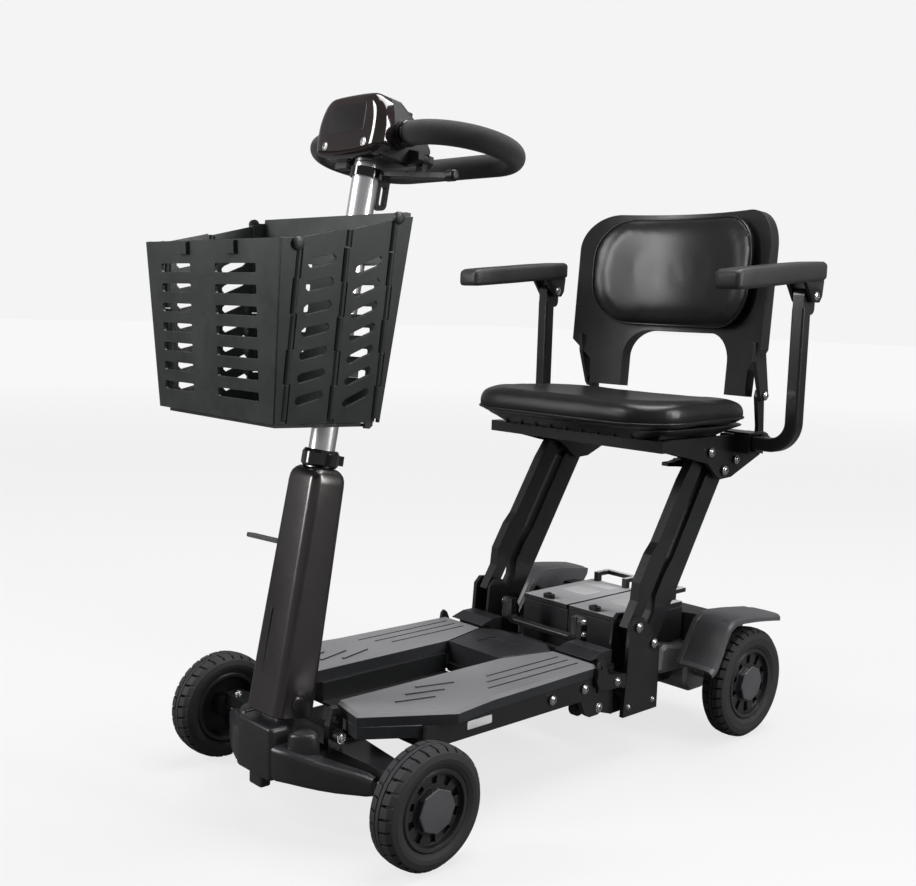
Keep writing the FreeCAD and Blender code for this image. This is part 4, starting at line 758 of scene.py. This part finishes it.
for side, name in SIDES:
    bolt("kingpin_nut_" + name, (side * 0.214, AXLE, 0.120), (0, 0, 1), "knuckle_" + name,
         head=0.013)
    block("battery_label_" + name, rounded_ring(0.030, 0.024, 0.003), 0.227, 0.2276, 0.0003,
          "battery_" + name, "label_grey",
          Matrix.Translation((side * 0.060, 0.322, 0)))
    block("battery_sticker_" + name, rounded_ring(0.030, 0.013, 0.002), 0.227, 0.2276, 0.0003,
          "battery_" + name, "label_grey",
          Matrix.Translation((side * 0.060, 0.385, 0)))
for end in ("front", "rear"):
    for side, name in SIDES:
        near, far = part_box("rim_%s_%s" % (end, name))
        face = far.x if side > 0 else near.x
        middle = (face - side * 0.0005, (near.y + far.y) / 2, (near.z + far.z) / 2)
        lathe("hub_cap_%s_%s" % (end, name), middle, (side, 0, 0), [
            (0.033, 0.0), (0.033, 0.0012), (0.0315, 0.0024), (0.008, 0.0026), (0.0, 0.0026)],
            "wheel_%s_%s" % (end, name), "hex_cap_grey", sides=8)
block("name_plate", [(x + AXLE + 0.170, y + 0.149) for x, y in rounded_ring(0.026, 0.0065, 0.002)],
      0.190, 0.1908, 0.0003, "deck", "label_grey", FACE_X)

# ---- stage --------------------------------------------------------------------------------------

bpy.ops.mesh.primitive_plane_add(size=60, location=(0, 0, 0))
floor = bpy.context.object
floor.name = "floor"
paper = Graph("paper")
grain = paper.add("ShaderNodeTexNoise", {"Scale": 3.0}).outputs["Fac"]
paper.feed(paper.shader.inputs["Base Color"],
           paper.mix(grain, (0.12, 0.12, 0.12, 1), (0.13, 0.13, 0.13, 1)))
# the camera sees a brighter floor than the light it gives, so that it fades into the backdrop
coords = paper.add("ShaderNodeTexCoord").outputs["Object"]
away = paper.add("ShaderNodeVectorMath", {"Vector": coords}, operation="LENGTH").outputs["Value"]
seen = paper.add("ShaderNodeLightPath").outputs["Is Camera Ray"]
glow = paper.math("MULTIPLY", paper.span(away, 1.0, 9.0, 0.72, 0.885), seen)
paper.shader.inputs["Emission Color"].default_value = (1, 1, 1, 1)
paper.feed(paper.shader.inputs["Emission Strength"], paper.math("ADD", glow, 0.03))
paper.shader.inputs["Roughness"].default_value = 0.9
paper.shader.inputs["Specular IOR Level"].default_value = 0.0
floor.data.materials.append(paper.material)

BACKDROP = (0.905, 0.905, 0.905, 1)
world = bpy.data.worlds.new("studio")
scene.world = world
world.use_nodes = True
sky = world.node_tree
ray = sky.nodes.new("ShaderNodeTexCoord")
split = sky.nodes.new("ShaderNodeSeparateXYZ")
ramp = sky.nodes.new("ShaderNodeValToRGB")
light = sky.nodes.new("ShaderNodeLightPath")
mixer = sky.nodes.new("ShaderNodeMix")
mixer.data_type = "RGBA"
sky.links.new(ray.outputs["Generated"], split.inputs[0])
sky.links.new(split.outputs[2], ramp.inputs[0])
sky.links.new(light.outputs["Is Camera Ray"], mixer.inputs["Factor"])
sky.links.new(ramp.outputs[0], mixer.inputs[6])
sky.links.new(mixer.outputs[2], sky.nodes["Background"].inputs["Color"])
mixer.inputs[7].default_value = BACKDROP
ramp.color_ramp.elements[0].position = 0.0
ramp.color_ramp.elements[0].color = (0.34, 0.34, 0.345, 1)
ramp.color_ramp.elements[1].position = 0.6
ramp.color_ramp.elements[1].color = (0.16, 0.16, 0.165, 1)
sky.nodes["Background"].inputs["Strength"].default_value = 1.0


def softbox(name, at, aim, wide, tall, power):
    lamp = bpy.data.lights.new(name, "AREA")
    lamp.shape = "RECTANGLE"
    lamp.size = wide
    lamp.size_y = tall
    lamp.energy = power
    obj = bpy.data.objects.new(name, lamp)
    scene.collection.objects.link(obj)
    obj.location = at
    obj.rotation_euler = (Vector(aim) - Vector(at)).to_track_quat("-Z", "Y").to_euler()


softbox("key", (-1.6, -3.0, 2.0), (0, 0, 0.5), 0.8, 2.4, 110)
softbox("side", (3.2, 1.4, 1.9), (0, 0, 0.5), 0.7, 2.4, 90)
softbox("top", (0.3, 0.5, 3.4), (0, 0, 0.3), 1.8, 2.6, 120)

CAMERA_AT, FOCAL_LENGTH, SENSOR_WIDTH = (1.40396, -1.39776, 0.77851), 45.773, 36
AZIMUTH, ELEVATION, ROLL = math.radians(46.809), math.radians(6.794), math.radians(1.806)
back = Vector((math.sin(AZIMUTH) * math.cos(ELEVATION), -math.cos(AZIMUTH) * math.cos(ELEVATION),
               math.sin(ELEVATION)))
right = (-back).cross(Vector((0, 0, 1))).normalized()
up = right.cross(-back)
across = math.cos(ROLL) * right + math.sin(ROLL) * up
upward = math.cos(ROLL) * up - math.sin(ROLL) * right
lens = bpy.data.cameras.new("camera")
lens.lens = FOCAL_LENGTH
lens.sensor_width = SENSOR_WIDTH
camera = bpy.data.objects.new("camera", lens)
scene.collection.objects.link(camera)
camera.matrix_world = Matrix.Translation(CAMERA_AT) @ Matrix(
    (across, upward, back)).transposed().to_4x4()
scene.camera = camera
scene.view_settings.view_transform = "Standard"
